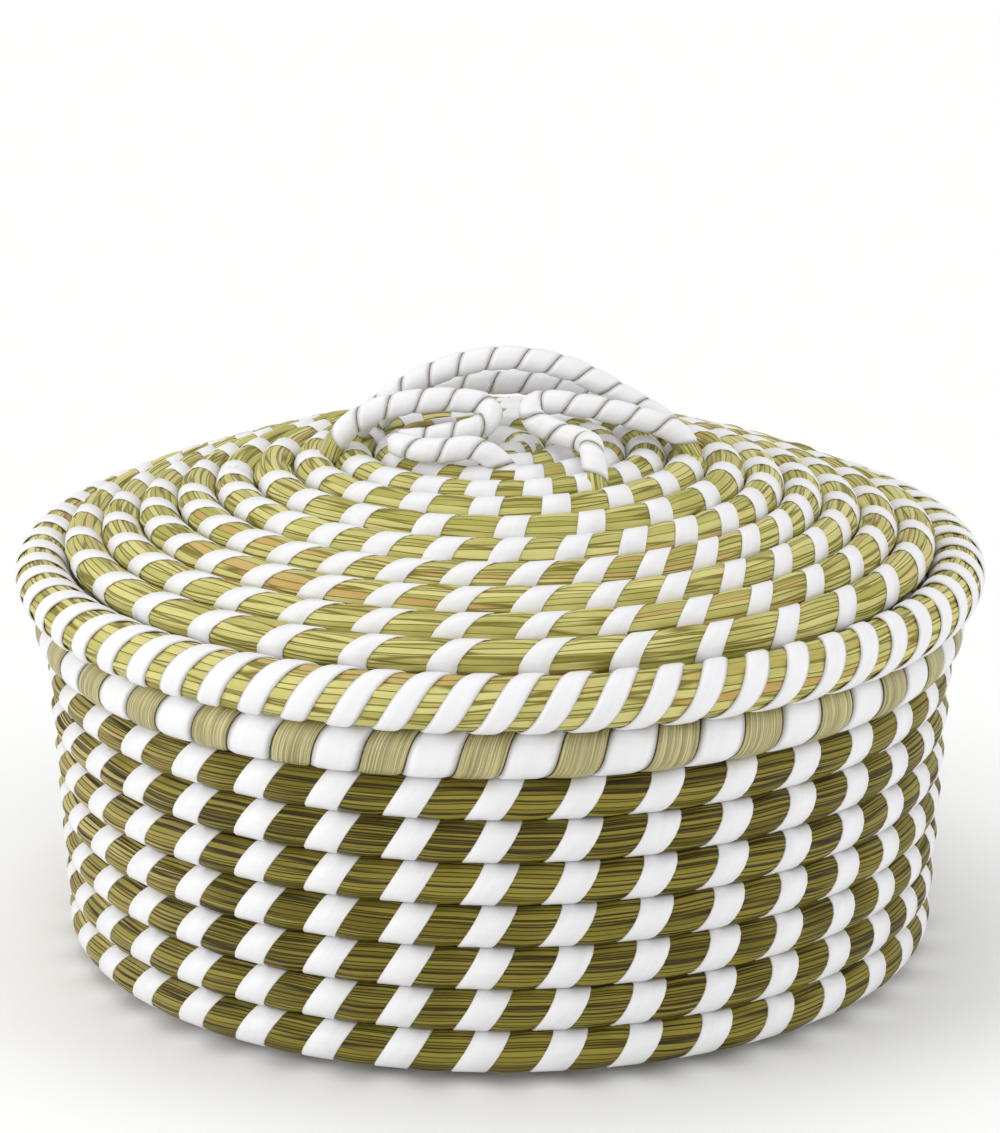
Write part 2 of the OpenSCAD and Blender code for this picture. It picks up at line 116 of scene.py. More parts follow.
class BasketSizes(bpy.types.PropertyGroup):
    """Sizes of the basket's base, wall and rim."""

    rim_outer: length("Rim radius", "Outer radius of the rim", 0.140)
    height: length("Height", "Height of the top of the rim", 0.1089)
    rim_tube: length("Rim bundle", "Radius of the wrapped rim bundle", 0.0075)
    tube: length("Bundle", "Radius of the grass bundle", 0.0062)
    pitch: length("Row pitch", "Distance from one row to the next", 0.0129)
    lean: length("Lean", "How far each row stands out from the one below", 0.0008)
    foot: length("Foot", "Depth worn flat under the basket", 0.0005)
    overhang: length("Overhang", "How far the rim stands out from the top row", 0.0026)
    rows: count("Wall rows", "Rows of the wall below the rim", 7)
    base_rows: count("Base rows", "Rows of the flat base", 9)


class LidSizes(bpy.types.PropertyGroup):
    """Sizes of the lid, its rim and its flange."""

    outer: length("Lid radius", "Outer radius of the lid", 0.1457)
    rim_tube: length("Lid rim bundle", "Radius of the bound lid rim", 0.0085)
    tube: length("Lid bundle", "Radius of the lid's grass bundle", 0.00575)
    pitch: length("Lid pitch", "Distance from one lid row to the next", 0.012)
    rows: count("Lid rows", "Rows inside the lid's rim", 11)
    slope: number("Slope", "Slope of the lid near its rim, in degrees", 20.5)
    flat_radius: length("Flat radius", "Radius inside which the lid flattens", 0.072)
    shoulder: length("Shoulder", "Height of the outermost row above the rim's middle", 0.0085)
    inset: length("Inset", "Distance of the outermost row from the rim's middle", 0.0128)
    flange_tube: length("Flange bundle", "Radius of the flange's bundle", 0.0067)
    seat: length("Seat", "Gap between the lid's rim and the basket's rim", 0.0003)


class BindingSizes(bpy.types.PropertyGroup):
    """Sizes of the white and straw strips."""

    wall_stitches: count("Wall stitches", "Stitches in one wall row", 36)
    wall_width: length("Wall strip", "Width of a wall stitch", 0.0100)
    wall_run: length("Wall slant", "Sideways run of a wall stitch", 0.0036)
    wall_phase: number("Wall phase", "Turn of the first wall stitch, in degrees", -2.8)
    wall_drift: number("Wall drift", "Turn from one row's stitches to the next, in degrees", 0.3)
    strip: length("Strip", "Thickness of a strip", 0.00035)
    rim_pairs: count("Rim pairs", "Pairs of white and straw wraps on the rim", 32)
    rim_share: number("Rim share", "Share of a pair that is white", 0.53)
    lid_stitches: count("Lid stitches", "Stitches in an outer lid row", 32)
    lid_width: length("Lid strip", "Width of a lid stitch", 0.0084)
    lid_run: length("Lid slant", "Sideways run of a lid stitch", 0.0052)
    lid_wraps: count("Lid wraps", "Wraps of the lid rim", 64)
    lid_wrap_share: number("Lid wrap share", "Share of the lid rim under its wraps", 0.60)


class ClothSizes(bpy.types.PropertyGroup):
    """Sizes of the liner and the pad."""

    liner_top: length("Liner top", "Height of the liner's upper edge", 0.0726)
    liner_foot: length("Liner foot", "Height of the liner's floor", 0.0122)
    liner_foot_radius: length("Liner foot radius", "Radius of the liner at its floor", 0.1167)
    liner_top_radius: length("Liner top radius", "Radius of the liner at its edge", 0.1209)
    fold: length("Fold", "Depth of the liner's folds", 0.0032)
    folds: count("Folds", "Folds round the liner", 14)
    pad_level: length("Pad level", "Height of the pad's middle", 0.0781)
    roll_radius: length("Roll ring", "Radius of the pad's edge roll", 0.1152)
    roll_tube: length("Roll", "Thickness radius of the edge roll", 0.005)
    face_radius: length("Face radius", "Radius of the quilted face", 0.1099)
    crown: length("Crown", "Swell of the pad's upper face", 0.0074)
    groove: length("Groove", "Height of the pad's face beside its edge roll", 0.0040)
    seam_turn: number("Seam turn", "Turn of the sewn cross, in degrees", 41.0)


class BasketColours(bpy.types.PropertyGroup):
    """Colours of the grass, strips and cloths."""

    olive: colour("Olive", "Wall grass", (0.128, 0.102, 0.009))
    olive_light: colour("Olive light", "Lit wall grass", (0.275, 0.228, 0.034))
    # Painted shade: the darkest olive fills the gaps between the blades; it is also the darker tone of
    # some veins.
    olive_dark_and_gap_shade: colour("Olive dark", "Gaps between the blades", (0.028, 0.018, 0.003))
    # Painted highlight: the pale tone painted on the wall's left side, where the light falls.
    left_side_light: colour("Bleached", "Wall grass on the sunny side", (0.62, 0.51, 0.20))
    lid_grass: colour("Lid grass", "Lid grass", (0.390, 0.365, 0.085))
    lid_light: colour("Lid light", "Pale lid grass", (0.640, 0.590, 0.220))
    # Painted shade: the darkest lid tone fills the gaps between the blades; it is also the darker tone
    # of some veins.
    lid_dark_and_gap_shade: colour("Lid dark", "Dark lid grass", (0.190, 0.155, 0.022))
    patch: colour("Brown", "Brown patches of dry grass", (0.50, 0.31, 0.10))
    # Painted shade: the three flange tones are darker than the lid's, for the shade under the lid's
    # rim; the darkest also fills the gaps between the blades.
    flange_dark_and_gap_shade: colour("Flange dark", "Gaps in the flange's grass", (0.075, 0.045, 0.008))
    flange: colour("Flange", "Flange grass", (0.215, 0.165, 0.022))
    flange_light: colour("Flange light", "Pale flange grass", (0.420, 0.350, 0.080))
    straw: colour("Straw", "Straw wraps", (0.235, 0.210, 0.075))
    straw_light: colour("Straw light", "Pale straw", (0.64, 0.56, 0.27))
    # Painted shade: the brownish line along each edge of a white strip.
    strip_edge_shade: colour("Strip edge", "Cut edge of a white strip", (0.47, 0.36, 0.19))
    white: colour("White", "Binding strip", (0.79, 0.785, 0.80))
    cotton: colour("Cotton", "Liner", (0.86, 0.85, 0.86))
    fleece: colour("Fleece", "Pad", (0.93, 0.925, 0.91))
    # Painted shade: the dark line in the gap beside a straw wrap.
    straw_gap_shade: colour("Straw edge", "Gap beside a straw wrap", (0.10, 0.085, 0.03))
    strip_light: colour("Strip light", "Pale fibres of a white strip", (0.87, 0.87, 0.88))
    # Painted shade: grey streaks that stand for the shade of soft creases in a strip.
    crease: colour("Crease", "Faint creases of a strip", (0.45, 0.47, 0.5))
    shade: colour("Shade", "Hollows of the cloths", (0.35, 0.33, 0.31))
    # Painted shade: the darker tone in the hollows of the thread's twist.
    thread_hollow_shade: colour("Thread dark", "Hollows of the sewing thread", (0.80, 0.78, 0.75))
    thread: colour("Thread", "Sewing thread", (0.92, 0.91, 0.89))
    floor: colour("Floor", "Floor near the basket", (0.93, 0.93, 0.925))
    backdrop: colour("Backdrop", "Background", (1.0, 1.0, 0.995))


# ---------------------------------------------------------------- rings and paths


def sizes():
    """The sizes of the basket, the lid, the bindings and the cloths, in that order."""
    scene = bpy.context.scene
    return scene.basket_sizes, scene.lid_sizes, scene.binding_sizes, scene.cloth_sizes


def colours():
    """The colours of this scene."""
    return bpy.context.scene.basket_colours


def rim_ring():
    """Radius and height of the middle of the basket's rim."""
    basket = sizes()[0]
    return np.array([basket.rim_outer - basket.rim_tube, basket.height - basket.rim_tube])


def wall_rings():
    """Rings of the wall, lowest first; ring 0 is the last one of the base.

    The top row sits under the rim at the sum of both tubes and a small room, and each row
    below it is one pitch lower and a little further in.
    """
    basket = sizes()[0]
    rim = rim_ring()
    top_radius = rim[0] - basket.overhang
    gap = basket.rim_tube + basket.tube + ROW_ROOM
    top_height = rim[1] - math.sqrt(gap**2 - basket.overhang**2)
    rise = math.sqrt(basket.pitch**2 - basket.lean**2)
    k = np.arange(1, basket.rows + 1)
    rings = np.stack(
        [top_radius - basket.lean * (basket.rows - k), top_height - rise * (basket.rows - k)], -1
    )
    return np.vstack([base_rings(rings[0])[-1], rings])


def base_rings(first_wall=None):
    """Rings of the flat base, evenly spaced from a tight first bend out to the wall's foot."""
    basket = sizes()[0]
    if first_wall is None:
        first_wall = wall_rings()[1]
    level = basket.tube - basket.foot
    edge = first_wall[0] - math.sqrt(
        (basket.pitch + CORNER_ROOM) ** 2 - (first_wall[1] - level) ** 2
    )
    radii = np.linspace(basket.tube + ROW_ROOM, edge, basket.base_rows)
    return np.stack([radii, np.full(basket.base_rows, level)], -1)


def lid_rim_ring():
    """Radius and height of the middle of the lid's rim, which rests on the basket's rim."""
    basket, lid = sizes()[:2]
    rim = rim_ring()
    radius = lid.outer - lid.rim_tube
    seat = lid.rim_tube + basket.rim_tube + lid.seat
    return np.array([radius, rim[1] + math.sqrt(seat**2 - (radius - rim[0]) ** 2)])


def lid_slope(radius):
    """Slope of the lid in radians: none in the middle, growing to its full value near the rim."""
    lid = sizes()[1]
    return math.radians(lid.slope) * (1 - np.exp(-((radius / lid.flat_radius) ** 3)))


def lid_rings():
    """Rings of the lid, innermost first, each one pitch up the slope from the next."""
    lid = sizes()[1]
    ring = lid_rim_ring() + np.array([-lid.inset, lid.shoulder])
    rings = []
    for _ in range(lid.rows):
        rings.append(ring)
        slope = lid_slope(ring[0])
        ring = ring + lid.pitch * np.array([-math.cos(slope), math.sin(slope)])
    return np.array(rings[::-1])


def flange_rings():
    """The two rings of the flange, the upper one first."""
    basket, lid = sizes()[:2]
    middle, level = rim_ring()[0], lid_rim_ring()[1]
    upper = [middle - FLANGE_UPPER[0], level - FLANGE_UPPER[1]]
    lower = [middle - basket.rim_tube - lid.flange_tube - FLANGE_LOWER[0], level - FLANGE_LOWER[1]]
    return np.array([upper, lower])


class Coil:
    """The line that a coiled bundle follows, as functions of its turn in degrees.

    A coil starts at turn 180. It is level on each ring over the front half turn, and over the
    back half turn it follows a circle between two centres to the next ring. A lifting ring is
    left by a level quarter turn first. A tail runs on after the last ring and thins away against
    the thicker rim beside it.
    """

    def __init__(self, rings, tube, lifting=(), beside=None, beside_tube=0.0, tail=0.0):
        self.rings, self.tube, self.last = np.asarray(rings), tube, len(rings) - 1
        self.lifting, self.beside, self.beside_tube = set(lifting), beside, beside_tube
        self.end = HALF + FULL * self.last + HALF + tail

    def row(self, turn):
        """The number of the row at a turn."""
        return np.clip(np.floor((turn - HALF) / FULL).astype(int), 0, self.last)

    def ring(self, turn):
        """Radius, height and tube radius of the bundle at a turn."""
        turn = np.asarray(turn, float)
        k = self.row(turn)
        low, high = self.rings[k], self.rings[np.minimum(k + 1, self.last)]
        a = np.radians(turn % FULL)
        behind = (turn % FULL < HALF) & (k < self.last)
        off, bend = (low[..., 0] - high[..., 0]) / 2, (low[..., 0] + high[..., 0]) / 2
        passing = off * np.cos(a) + np.sqrt(bend**2 - (off * np.sin(a)) ** 2)
        own = a + np.arcsin(off * np.sin(a) / bend)
        climb = (1 - np.cos(own)) / 2
        if self.lifting:
            late = np.where(a < math.pi / 2, 0, 1 - np.sin(own))
            climb = np.where(np.isin(k, list(self.lifting)), late, climb)
        radius = np.where(behind, passing, low[..., 0])
        level = np.where(behind, low[..., 1] + (high[..., 1] - low[..., 1]) * climb, low[..., 1])
        tube = np.full(turn.shape, float(self.tube))
        if self.beside is not None:
            past = np.clip(turn - (HALF + FULL * self.last + HALF), 0, None) / HALF
            way = (self.rings[-1] - self.beside) / np.linalg.norm(self.rings[-1] - self.beside)
            thin = self.tube * (1 + np.cos(past * math.pi)) / 2 + TAIL_END * np.minimum(past * 4, 1)
            reach = self.beside_tube + ROW_ROOM * (1 - np.minimum(past, 1)) + thin
            radius = np.where(past > 0, self.beside[0] + way[0] * reach, radius)
            level = np.where(past > 0, self.beside[1] + way[1] * reach, level)
            tube = np.where(past > 0, thin, tube)
        return radius, level, tube

    def centre(self, turn):
        """The middle of the bundle at a turn."""
        radius, level, _ = self.ring(turn)
        a = np.radians(turn)
        return np.stack([radius * np.cos(a), radius * np.sin(a), level], -1)

    def frame(self, turn):
        """Middle, outward way and upward way, both square to the bundle."""
        step = 0.4
        ahead = self.centre(turn + step) - self.centre(turn - step)
        ahead /= np.linalg.norm(ahead, axis=-1, keepdims=True)
        out = np.cross(ahead, [0.0, 0.0, 1.0])
        out /= np.linalg.norm(out, axis=-1, keepdims=True)
        return self.centre(turn), out, np.cross(out, ahead)


class Ring(Coil):
    """A bundle that closes on itself, level all round."""

    def __init__(self, ring, tube):
        super().__init__([ring], tube)
        self.end = HALF + FULL

    def ring(self, turn):
        """The same radius, height and tube at every turn."""
        turn = np.asarray(turn, float)
        one = np.ones(turn.shape)
        return self.rings[0, 0] * one, self.rings[0, 1] * one, self.tube * one


def run_along(points):
    """The length of a path from its start to each of its points."""
    return np.concatenate([[0], np.cumsum(np.linalg.norm(np.diff(points, axis=0), axis=1))])


def evenly(coil, step, start):
    """Turns from a start to a coil's end, evenly spaced by length, and the length at each.

    The length is measured on two points to the degree.
    """
    fine = np.linspace(start, coil.end, int((coil.end - start) * 2) + 2)
    run = run_along(coil.centre(fine))
    n = int(run[-1] / step)
    even = np.linspace(0, run[-1], n + 1)
    return np.interp(even, run, fine), even


# ---------------------------------------------------------------- meshes


def surface(name, points, material, u=None, v=None, close_rows=False, close_cols=False, ends=False):
    """A mesh from one or many grids of points, shaped (grids, rows, columns, 3).

    u is given for each row and v for each column, one value more where the grid closes, and they
    make the UV map. Ends closes the first and last row of each grid with one face.
    """
    points = points.reshape((-1,) + points.shape[-3:])
    grids, rows, cols = points.shape[:3]
    i = np.arange(rows if close_rows else rows - 1)[:, None]
    j = np.arange(cols if close_cols else cols - 1)[None, :]
    i, j = np.broadcast_arrays(i, j)
    i2, j2 = (i + 1) % rows, (j + 1) % cols
    quads = np.stack([i * cols + j, i * cols + j2, i2 * cols + j2, i2 * cols + j], -1)
    quads = quads.reshape(-1, 4)
    shift = (np.arange(grids) * rows * cols)[:, None, None]
    corners = (quads[None] + shift).reshape(-1)
    starts = np.arange(len(corners) // 4) * 4
    u = np.linspace(0, 1, rows + close_rows) if u is None else np.asarray(u, float)
    v = np.linspace(0, 1, cols + close_cols) if v is None else np.asarray(v, float)
    u = np.broadcast_to(u, (grids, u.shape[-1]))
    v = np.broadcast_to(v, (grids, v.shape[-1]))
    ui = np.stack([i, i, i + 1, i + 1], -1).reshape(-1)
    vj = np.stack([j, j + 1, j + 1, j], -1).reshape(-1)
    uv = np.stack([u[:, ui], v[:, vj]], -1).reshape(-1, 2)
    if ends:
        first = np.arange(cols)[::-1]
        last = np.arange(cols) + (rows - 1) * cols
        rims = np.concatenate([np.concatenate([first, last]) + s for s in shift.ravel()])
        starts = np.concatenate([starts, len(corners) + np.arange(2 * grids) * cols])
        corners = np.concatenate([corners, rims])
        uv = np.concatenate([uv, np.zeros((len(rims), 2))])
    mesh = bpy.data.meshes.new(name)
    mesh.vertices.add(grids * rows * cols)
    mesh.vertices.foreach_set("co", points.astype(np.float32).ravel())
    mesh.loops.add(len(corners))
    mesh.loops.foreach_set("vertex_index", corners.astype(np.int32))
    mesh.polygons.add(len(starts))
    mesh.polygons.foreach_set("loop_start", starts.astype(np.int32))
    mesh.update(calc_edges=True)
    mesh.polygons.foreach_set("use_smooth", np.ones(len(starts), bool))
    mesh.uv_layers.new(name="Way").data.foreach_set("uv", uv.astype(np.float32).ravel())
    mesh.validate()
    mesh.materials.append(material)
    piece = bpy.data.objects.new(name, mesh)
    bpy.context.scene.collection.objects.link(piece)
    return piece


def close_hole(piece, cols):
    """Closes the small hole in the middle of a round cloth with one face."""
    mesh = bmesh.new()
    mesh.from_mesh(piece.data)
    mesh.verts.ensure_lookup_table()
    mesh.faces.new([mesh.verts[i] for i in range(cols)][::-1])
    bmesh.ops.recalc_face_normals(mesh, faces=mesh.faces)
    mesh.to_mesh(piece.data)
    mesh.free()


def keep_above_floor(piece):
    """Presses flat whatever of a strip would lie below the floor."""
    co = np.empty(len(piece.data.vertices) * 3, np.float32)
    piece.data.vertices.foreach_get("co", co)
    co[2::3] = np.maximum(co[2::3], STRIP_FLOOR)
    piece.data.vertices.foreach_set("co", co)


def placed(piece, body, slot, *nodes):
    """A piece that rides on a body and stands for its solids; its slot is not used."""
    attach(piece, body)
    if nodes:
        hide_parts(*nodes)
    return piece


# Noise is a sum of sines: how many, how much faster and weaker each is, and the sum's reach.
WAVES, GROWTH, FADE, REACH = 5, 1.7, 1.3, 2.4
RING_WAVES, RING_FADE, RING_REACH = 6, 0.3, 3
ANY_PHASE = 6.3


def wander(x, seed):
    """Smooth repeatable noise of x, about -1 to 1: a sum of sines, each shorter than the last."""
    r = np.random.default_rng(seed)
    total = np.zeros(np.shape(x))
    for k in range(WAVES):
        wave = np.sin(x * (GROWTH**k) * r.uniform(0.8, 1.2) + r.uniform(0, ANY_PHASE))
        total = total + wave / FADE**k
    return total / REACH


def wander_ring(turn, seed, top):
    """Smooth noise round a circle: sines of whole numbers of waves up to the top one."""
    r = np.random.default_rng(seed)
    total = np.zeros(np.shape(turn))
    for k in range(RING_WAVES):
        waves = int(r.integers(max(2, top // 3), top + 1))
        total = total + np.sin(waves * turn + r.uniform(0, ANY_PHASE)) / (1 + RING_FADE * k)
    return total / RING_REACH


def ring_of(n):
    """Evenly spaced angles once round, in radians."""
    return np.linspace(0, 2 * math.pi, n, endpoint=False)


# ---------------------------------------------------------------- bundles


class Stitching:
    """Where the strips lie along a coil: counts for each row, phase, width, slant and facing.

    The middle of a stitch is off its turn by run times the sine of the angle round the bundle,
    measured from the way that the row faces.
    """

    def __init__(self, coil, counts, width, run, phases, facing):
        self.coil, self.width = coil, width
        self.counts = np.asarray(counts, float)
        self.run = np.broadcast_to(np.asarray(run, float), self.counts.shape)
        self.phases = np.asarray(phases, float)
        self.facing = np.asarray(facing, float)

    def off(self, turn, radius, angle):
        """Signed distance along the bundle from the nearest stitch's middle."""
        k = self.coil.row(turn)
        pitch = FULL / self.counts[k]
        lean = self.run[k] * np.sin(angle - self.facing[k])
        distance = np.radians(turn - self.phases[k]) * radius - lean
        whole = np.radians(pitch) * radius
        return (distance + whole / 2) % whole - whole / 2

    def turns(self, start, stop):
        """The turns of all stitches between two turns of the coil."""
        found = []
        for k in range(self.coil.last + 1):
            low = max(start, HALF + FULL * k)
            high = min(stop, HALF + FULL * (k + 1)) if k < self.coil.last else stop
            pitch = FULL / self.counts[k]
            n = np.arange(math.ceil((low - self.phases[k]) / pitch), (high - self.phases[k]) / pitch)
            found.append(self.phases[k] + pitch * n)
        return np.concatenate(found)


def grass_bundle(name, coil, material, step, sides, seed, stitching=None, start=HALF,
                 lump=0.00025, pinch=0.0005, closed=False, floor=None):
    """A round bundle carried along its coil.

    Its radius is the tube's, less the pinch under each strip, plus the swell of the blades: 5, 8
    and 11 long ridges that wander slowly round the bundle. Between two strips it bellies out.
    """
    turn, run = evenly(coil, step, start)
    u = run
    if closed:
        turn, run = turn[:-1], run[:-1]
    middle, out, up = coil.frame(turn)
    radius, _, tube = coil.ring(turn)
    angle = np.arange(sides) * 2 * math.pi / sides
    a, t = np.meshgrid(angle, turn)
    drift = wander(run[:, None] * 18, seed)
    ridges = (
        np.sin(5 * a + 2.2 * drift + 1.0)
        + 0.8 * np.sin(8 * a - 2.6 * drift + 2.0 * wander(run[:, None] * 31, seed + 1))
        + 0.6 * np.sin(11 * a + 3.1 * wander(run[:, None] * 47, seed + 2))
    )
    swell = lump * (ridges / 1.6 - 0.6)
    if stitching is not None:
        off = stitching.off(t, radius[:, None], a)
        held = 1 / (1 + (np.abs(off) / (0.62 * stitching.width)) ** 6)
        half_pitch = np.radians(FULL / stitching.counts[coil.row(turn)]) * radius / 2
        belly = np.cos(np.clip(off / half_pitch[:, None], -1, 1) * math.pi / 2) ** 2
        swell = swell * (1 - held) - pinch * held - BELLY * belly
    reach = tube[:, None] * (1 + (swell + FULLNESS) / coil.tube)
    points = middle[:, None] + reach[..., None] * (
        np.cos(a)[..., None] * out[:, None] + np.sin(a)[..., None] * up[:, None]
    )
    if floor is not None:
        points[..., 2] = np.maximum(points[..., 2], floor)
    v = np.linspace(0, 1, sides + 1)
    return surface(name, points, material, u, v, close_rows=closed, close_cols=True, ends=not closed)


def strip_profile(width, thickness):
    """Across a flat strip: offsets along the bundle, and heights with a slope at each side."""
    half = width / 2
    edge = min(STRIP_BEVEL, width / 6)
    return np.array([-half, -half + edge, half - edge, half]), np.array([0, thickness, thickness, 0])


def wrap_profile(s, width, height):
    """Across a wrap, from places s of -1 to 1: offsets, heights and the UV across, last first.

    One more point under the middle closes the section.
    """
    along = np.concatenate([s * width / 2, [0.0]])
    height = np.concatenate([height, [-KEEL]])
    return along, height, np.concatenate([[1.0], (s[::-1] + 1) / 2, [0.0]])


def strip_loops(name, stitching, start=HALF, stop=None):
    """Closed white strips round a bundle, one for each stitch, each of 16 points round.

    A point is found from its angle round the bundle and its place across the strip; the turn
    follows the slant, and the height follows the bundle itself.
    """
    coil, turns_round = stitching.coil, 16
    thickness = sizes()[2].strip
    stop = coil.end if stop is None else stop
    middle_turn = stitching.turns(start, stop)
    along, height = strip_profile(stitching.width, thickness)
    k = coil.row(middle_turn)
    angle = np.arange(turns_round) * 2 * math.pi / turns_round
    angle = angle[None, :, None] + stitching.facing[k][:, None, None]
    radius = coil.ring(middle_turn)[0][:, None, None]
    lean = stitching.run[k][:, None, None] * np.sin(angle - stitching.facing[k][:, None, None])
    turn = middle_turn[:, None, None] + np.degrees((lean + along[None, None, :]) / radius)
    turn = np.clip(turn, HALF - 0.5, coil.end)
    angle = np.broadcast_to(angle, turn.shape)
    middle, out, up = coil.frame(turn)
    tube = coil.ring(turn)[2] - STRIP_SINK + height[None, None, :]
    points = middle + tube[..., None] * (np.cos(angle)[..., None] * out + np.sin(angle)[..., None] * up)
    u = np.linspace(0, 2 * math.pi * coil.tube, turns_round + 1)
    v = (along - along[0]) / (along[-1] - along[0])
    v = np.concatenate([v, [1.0]])
    u = u[None] + np.arange(len(middle_turn))[:, None] * 0.137
    return surface(name, points[:, :, ::-1], white_material(), u, v, close_rows=True, close_cols=True)


def helix_wrap(name, ring, tube, material, starts, pitches, share, phase, across=6, ridges=0,
               slide=0.0):
    """Strips wound side by side round a ring, as screws that close on themselves.

    While the angle round the bundle goes once round, in 36 steps, a strip moves on by as many
    pitches as there are starts. A slide draws the turns upright on the outside and lays them over
    on the inside. A wrap is highest in its middle, and ridges are the straws across it.
    """
    pitch, steps = FULL / pitches, 36
    n = pitches // starts * steps
    t = np.arange(n) / steps
    angle = 2 * math.pi * t
    width = math.radians(pitch * share) * ring[0] - WRAP_GAP
    s = np.linspace(-1, 1, across + 1)
    height = WRAP_THICKNESS * (1 - np.abs(s) ** 8) + WRAP_CROWN * (1 - s**2)
    if ridges:
        height = height + WRAP_RIDGE * np.cos(s * math.pi * ridges) * (1 - s**6)
    along, height, v = wrap_profile(s, width, height)
    grids = []
    for j in range(starts):
        turn = phase + pitch * (starts * t + j)
        turn = turn[:, None] + np.degrees((along[None] - slide * np.sin(angle)[:, None]) / ring[0])
        a = np.radians(turn)
        reach = tube - WRAP_THICKNESS - WRAP_CROWN + height[None]
        r = ring[0] + reach * np.cos(angle)[:, None]
        z = ring[1] + reach * np.sin(angle)[:, None]
        grids.append(np.stack([r * np.cos(a), r * np.sin(a), z], -1))
    u = np.linspace(0, n / steps * 2 * math.pi * tube, n + 1)
    return surface(name, np.array(grids)[:, :, ::-1], material, u, v, close_rows=True, close_cols=True)


# ---------------------------------------------------------------- materials


class Wires:
    """Adds and joins shader nodes in a tree."""

    def __init__(self, tree):
        self.tree = tree

    def node(self, kind, **options):
        """A new node with its options set."""
        made = self.tree.nodes.new(kind)
        for title, value in options.items():
            setattr(made, title, value)
        return made

    def put(self, value, socket):
        """Sets a socket to a plain value, or links it to another socket."""
        if isinstance(value, bpy.types.NodeSocket):
            self.tree.links.new(value, socket)
        else:
            socket.default_value = value

    def fill(self, made, **values):
        """Sets a node's sockets by name, where an underscore stands for a space."""
        for title, value in values.items():
            self.put(value, made.inputs[title.replace("_", " ")])
        return made

    def feed(self, made, *values):
        """Sets a node's sockets in their order and gives its first output."""
        for value, socket in zip(values, made.inputs):
            self.put(value, socket)
        return made.outputs[0]

    def math(self, operation, a, b=0.0):
        """One step of arithmetic."""
        return self.feed(self.node("ShaderNodeMath", operation=operation), a, b)

    def add(self, a, b):
        """The sum of two values."""
        return self.math("ADD", a, b)

    def less(self, a, b):
        """The first value less the second."""
        return self.math("SUBTRACT", a, b)

    def times(self, a, b):
        """The product of two values."""
        return self.math("MULTIPLY", a, b)

    def mix(self, share, a, b):
        """A mix of two colours."""
        made = self.node("ShaderNodeMix", data_type="RGBA")
        for value, place in ((share, 0), (a, 6), (b, 7)):
            self.put(value, made.inputs[place])
        return made.outputs[2]

    def remap(self, value, low, high, to_low=0.0, to_high=1.0):
        """A value moved from one range to another, smoothly and clamped."""
        made = self.node("ShaderNodeMapRange", interpolation_type="SMOOTHSTEP")
        return self.feed(made, value, low, high, to_low, to_high)

    def noise(self, vector, scale, detail=3.0, rough=0.5):
        """A noise value at a vector."""
        made = self.node("ShaderNodeTexNoise")
        self.fill(made, Vector=vector, Scale=scale, Detail=detail, Roughness=rough)
        return made.outputs[0]

    def scaled(self, vector, scale):
        """A vector times another."""
        return self.feed(self.node("ShaderNodeVectorMath", operation="MULTIPLY"), vector, scale)

    def parts(self, vector):
        """The three parts of a vector."""
        made = self.node("ShaderNodeSeparateXYZ")
        self.put(vector, made.inputs[0])
        return made.outputs

    def place(self):
        """The place of a point on its piece."""
        return self.node("ShaderNodeTexCoord").outputs["Object"]


def node_group(name, inputs, outputs):
    """A new shader node group with its wires, its inputs and its last node.

    Inputs and outputs give the kind of each named socket.
    """
    group = bpy.data.node_groups.new(name, "ShaderNodeTree")
    for way, sockets in (("INPUT", inputs), ("OUTPUT", outputs)):
        for title, kind in sockets.items():
            group.interface.new_socket(name=title, in_out=way, socket_type="NodeSocket" + kind)
    first, last = group.nodes.new("NodeGroupInput"), group.nodes.new("NodeGroupOutput")
    return group, Wires(group), first.outputs, last


def rgba(colour_value):
    """A colour property as four numbers."""
    return (*colour_value, 1.0)


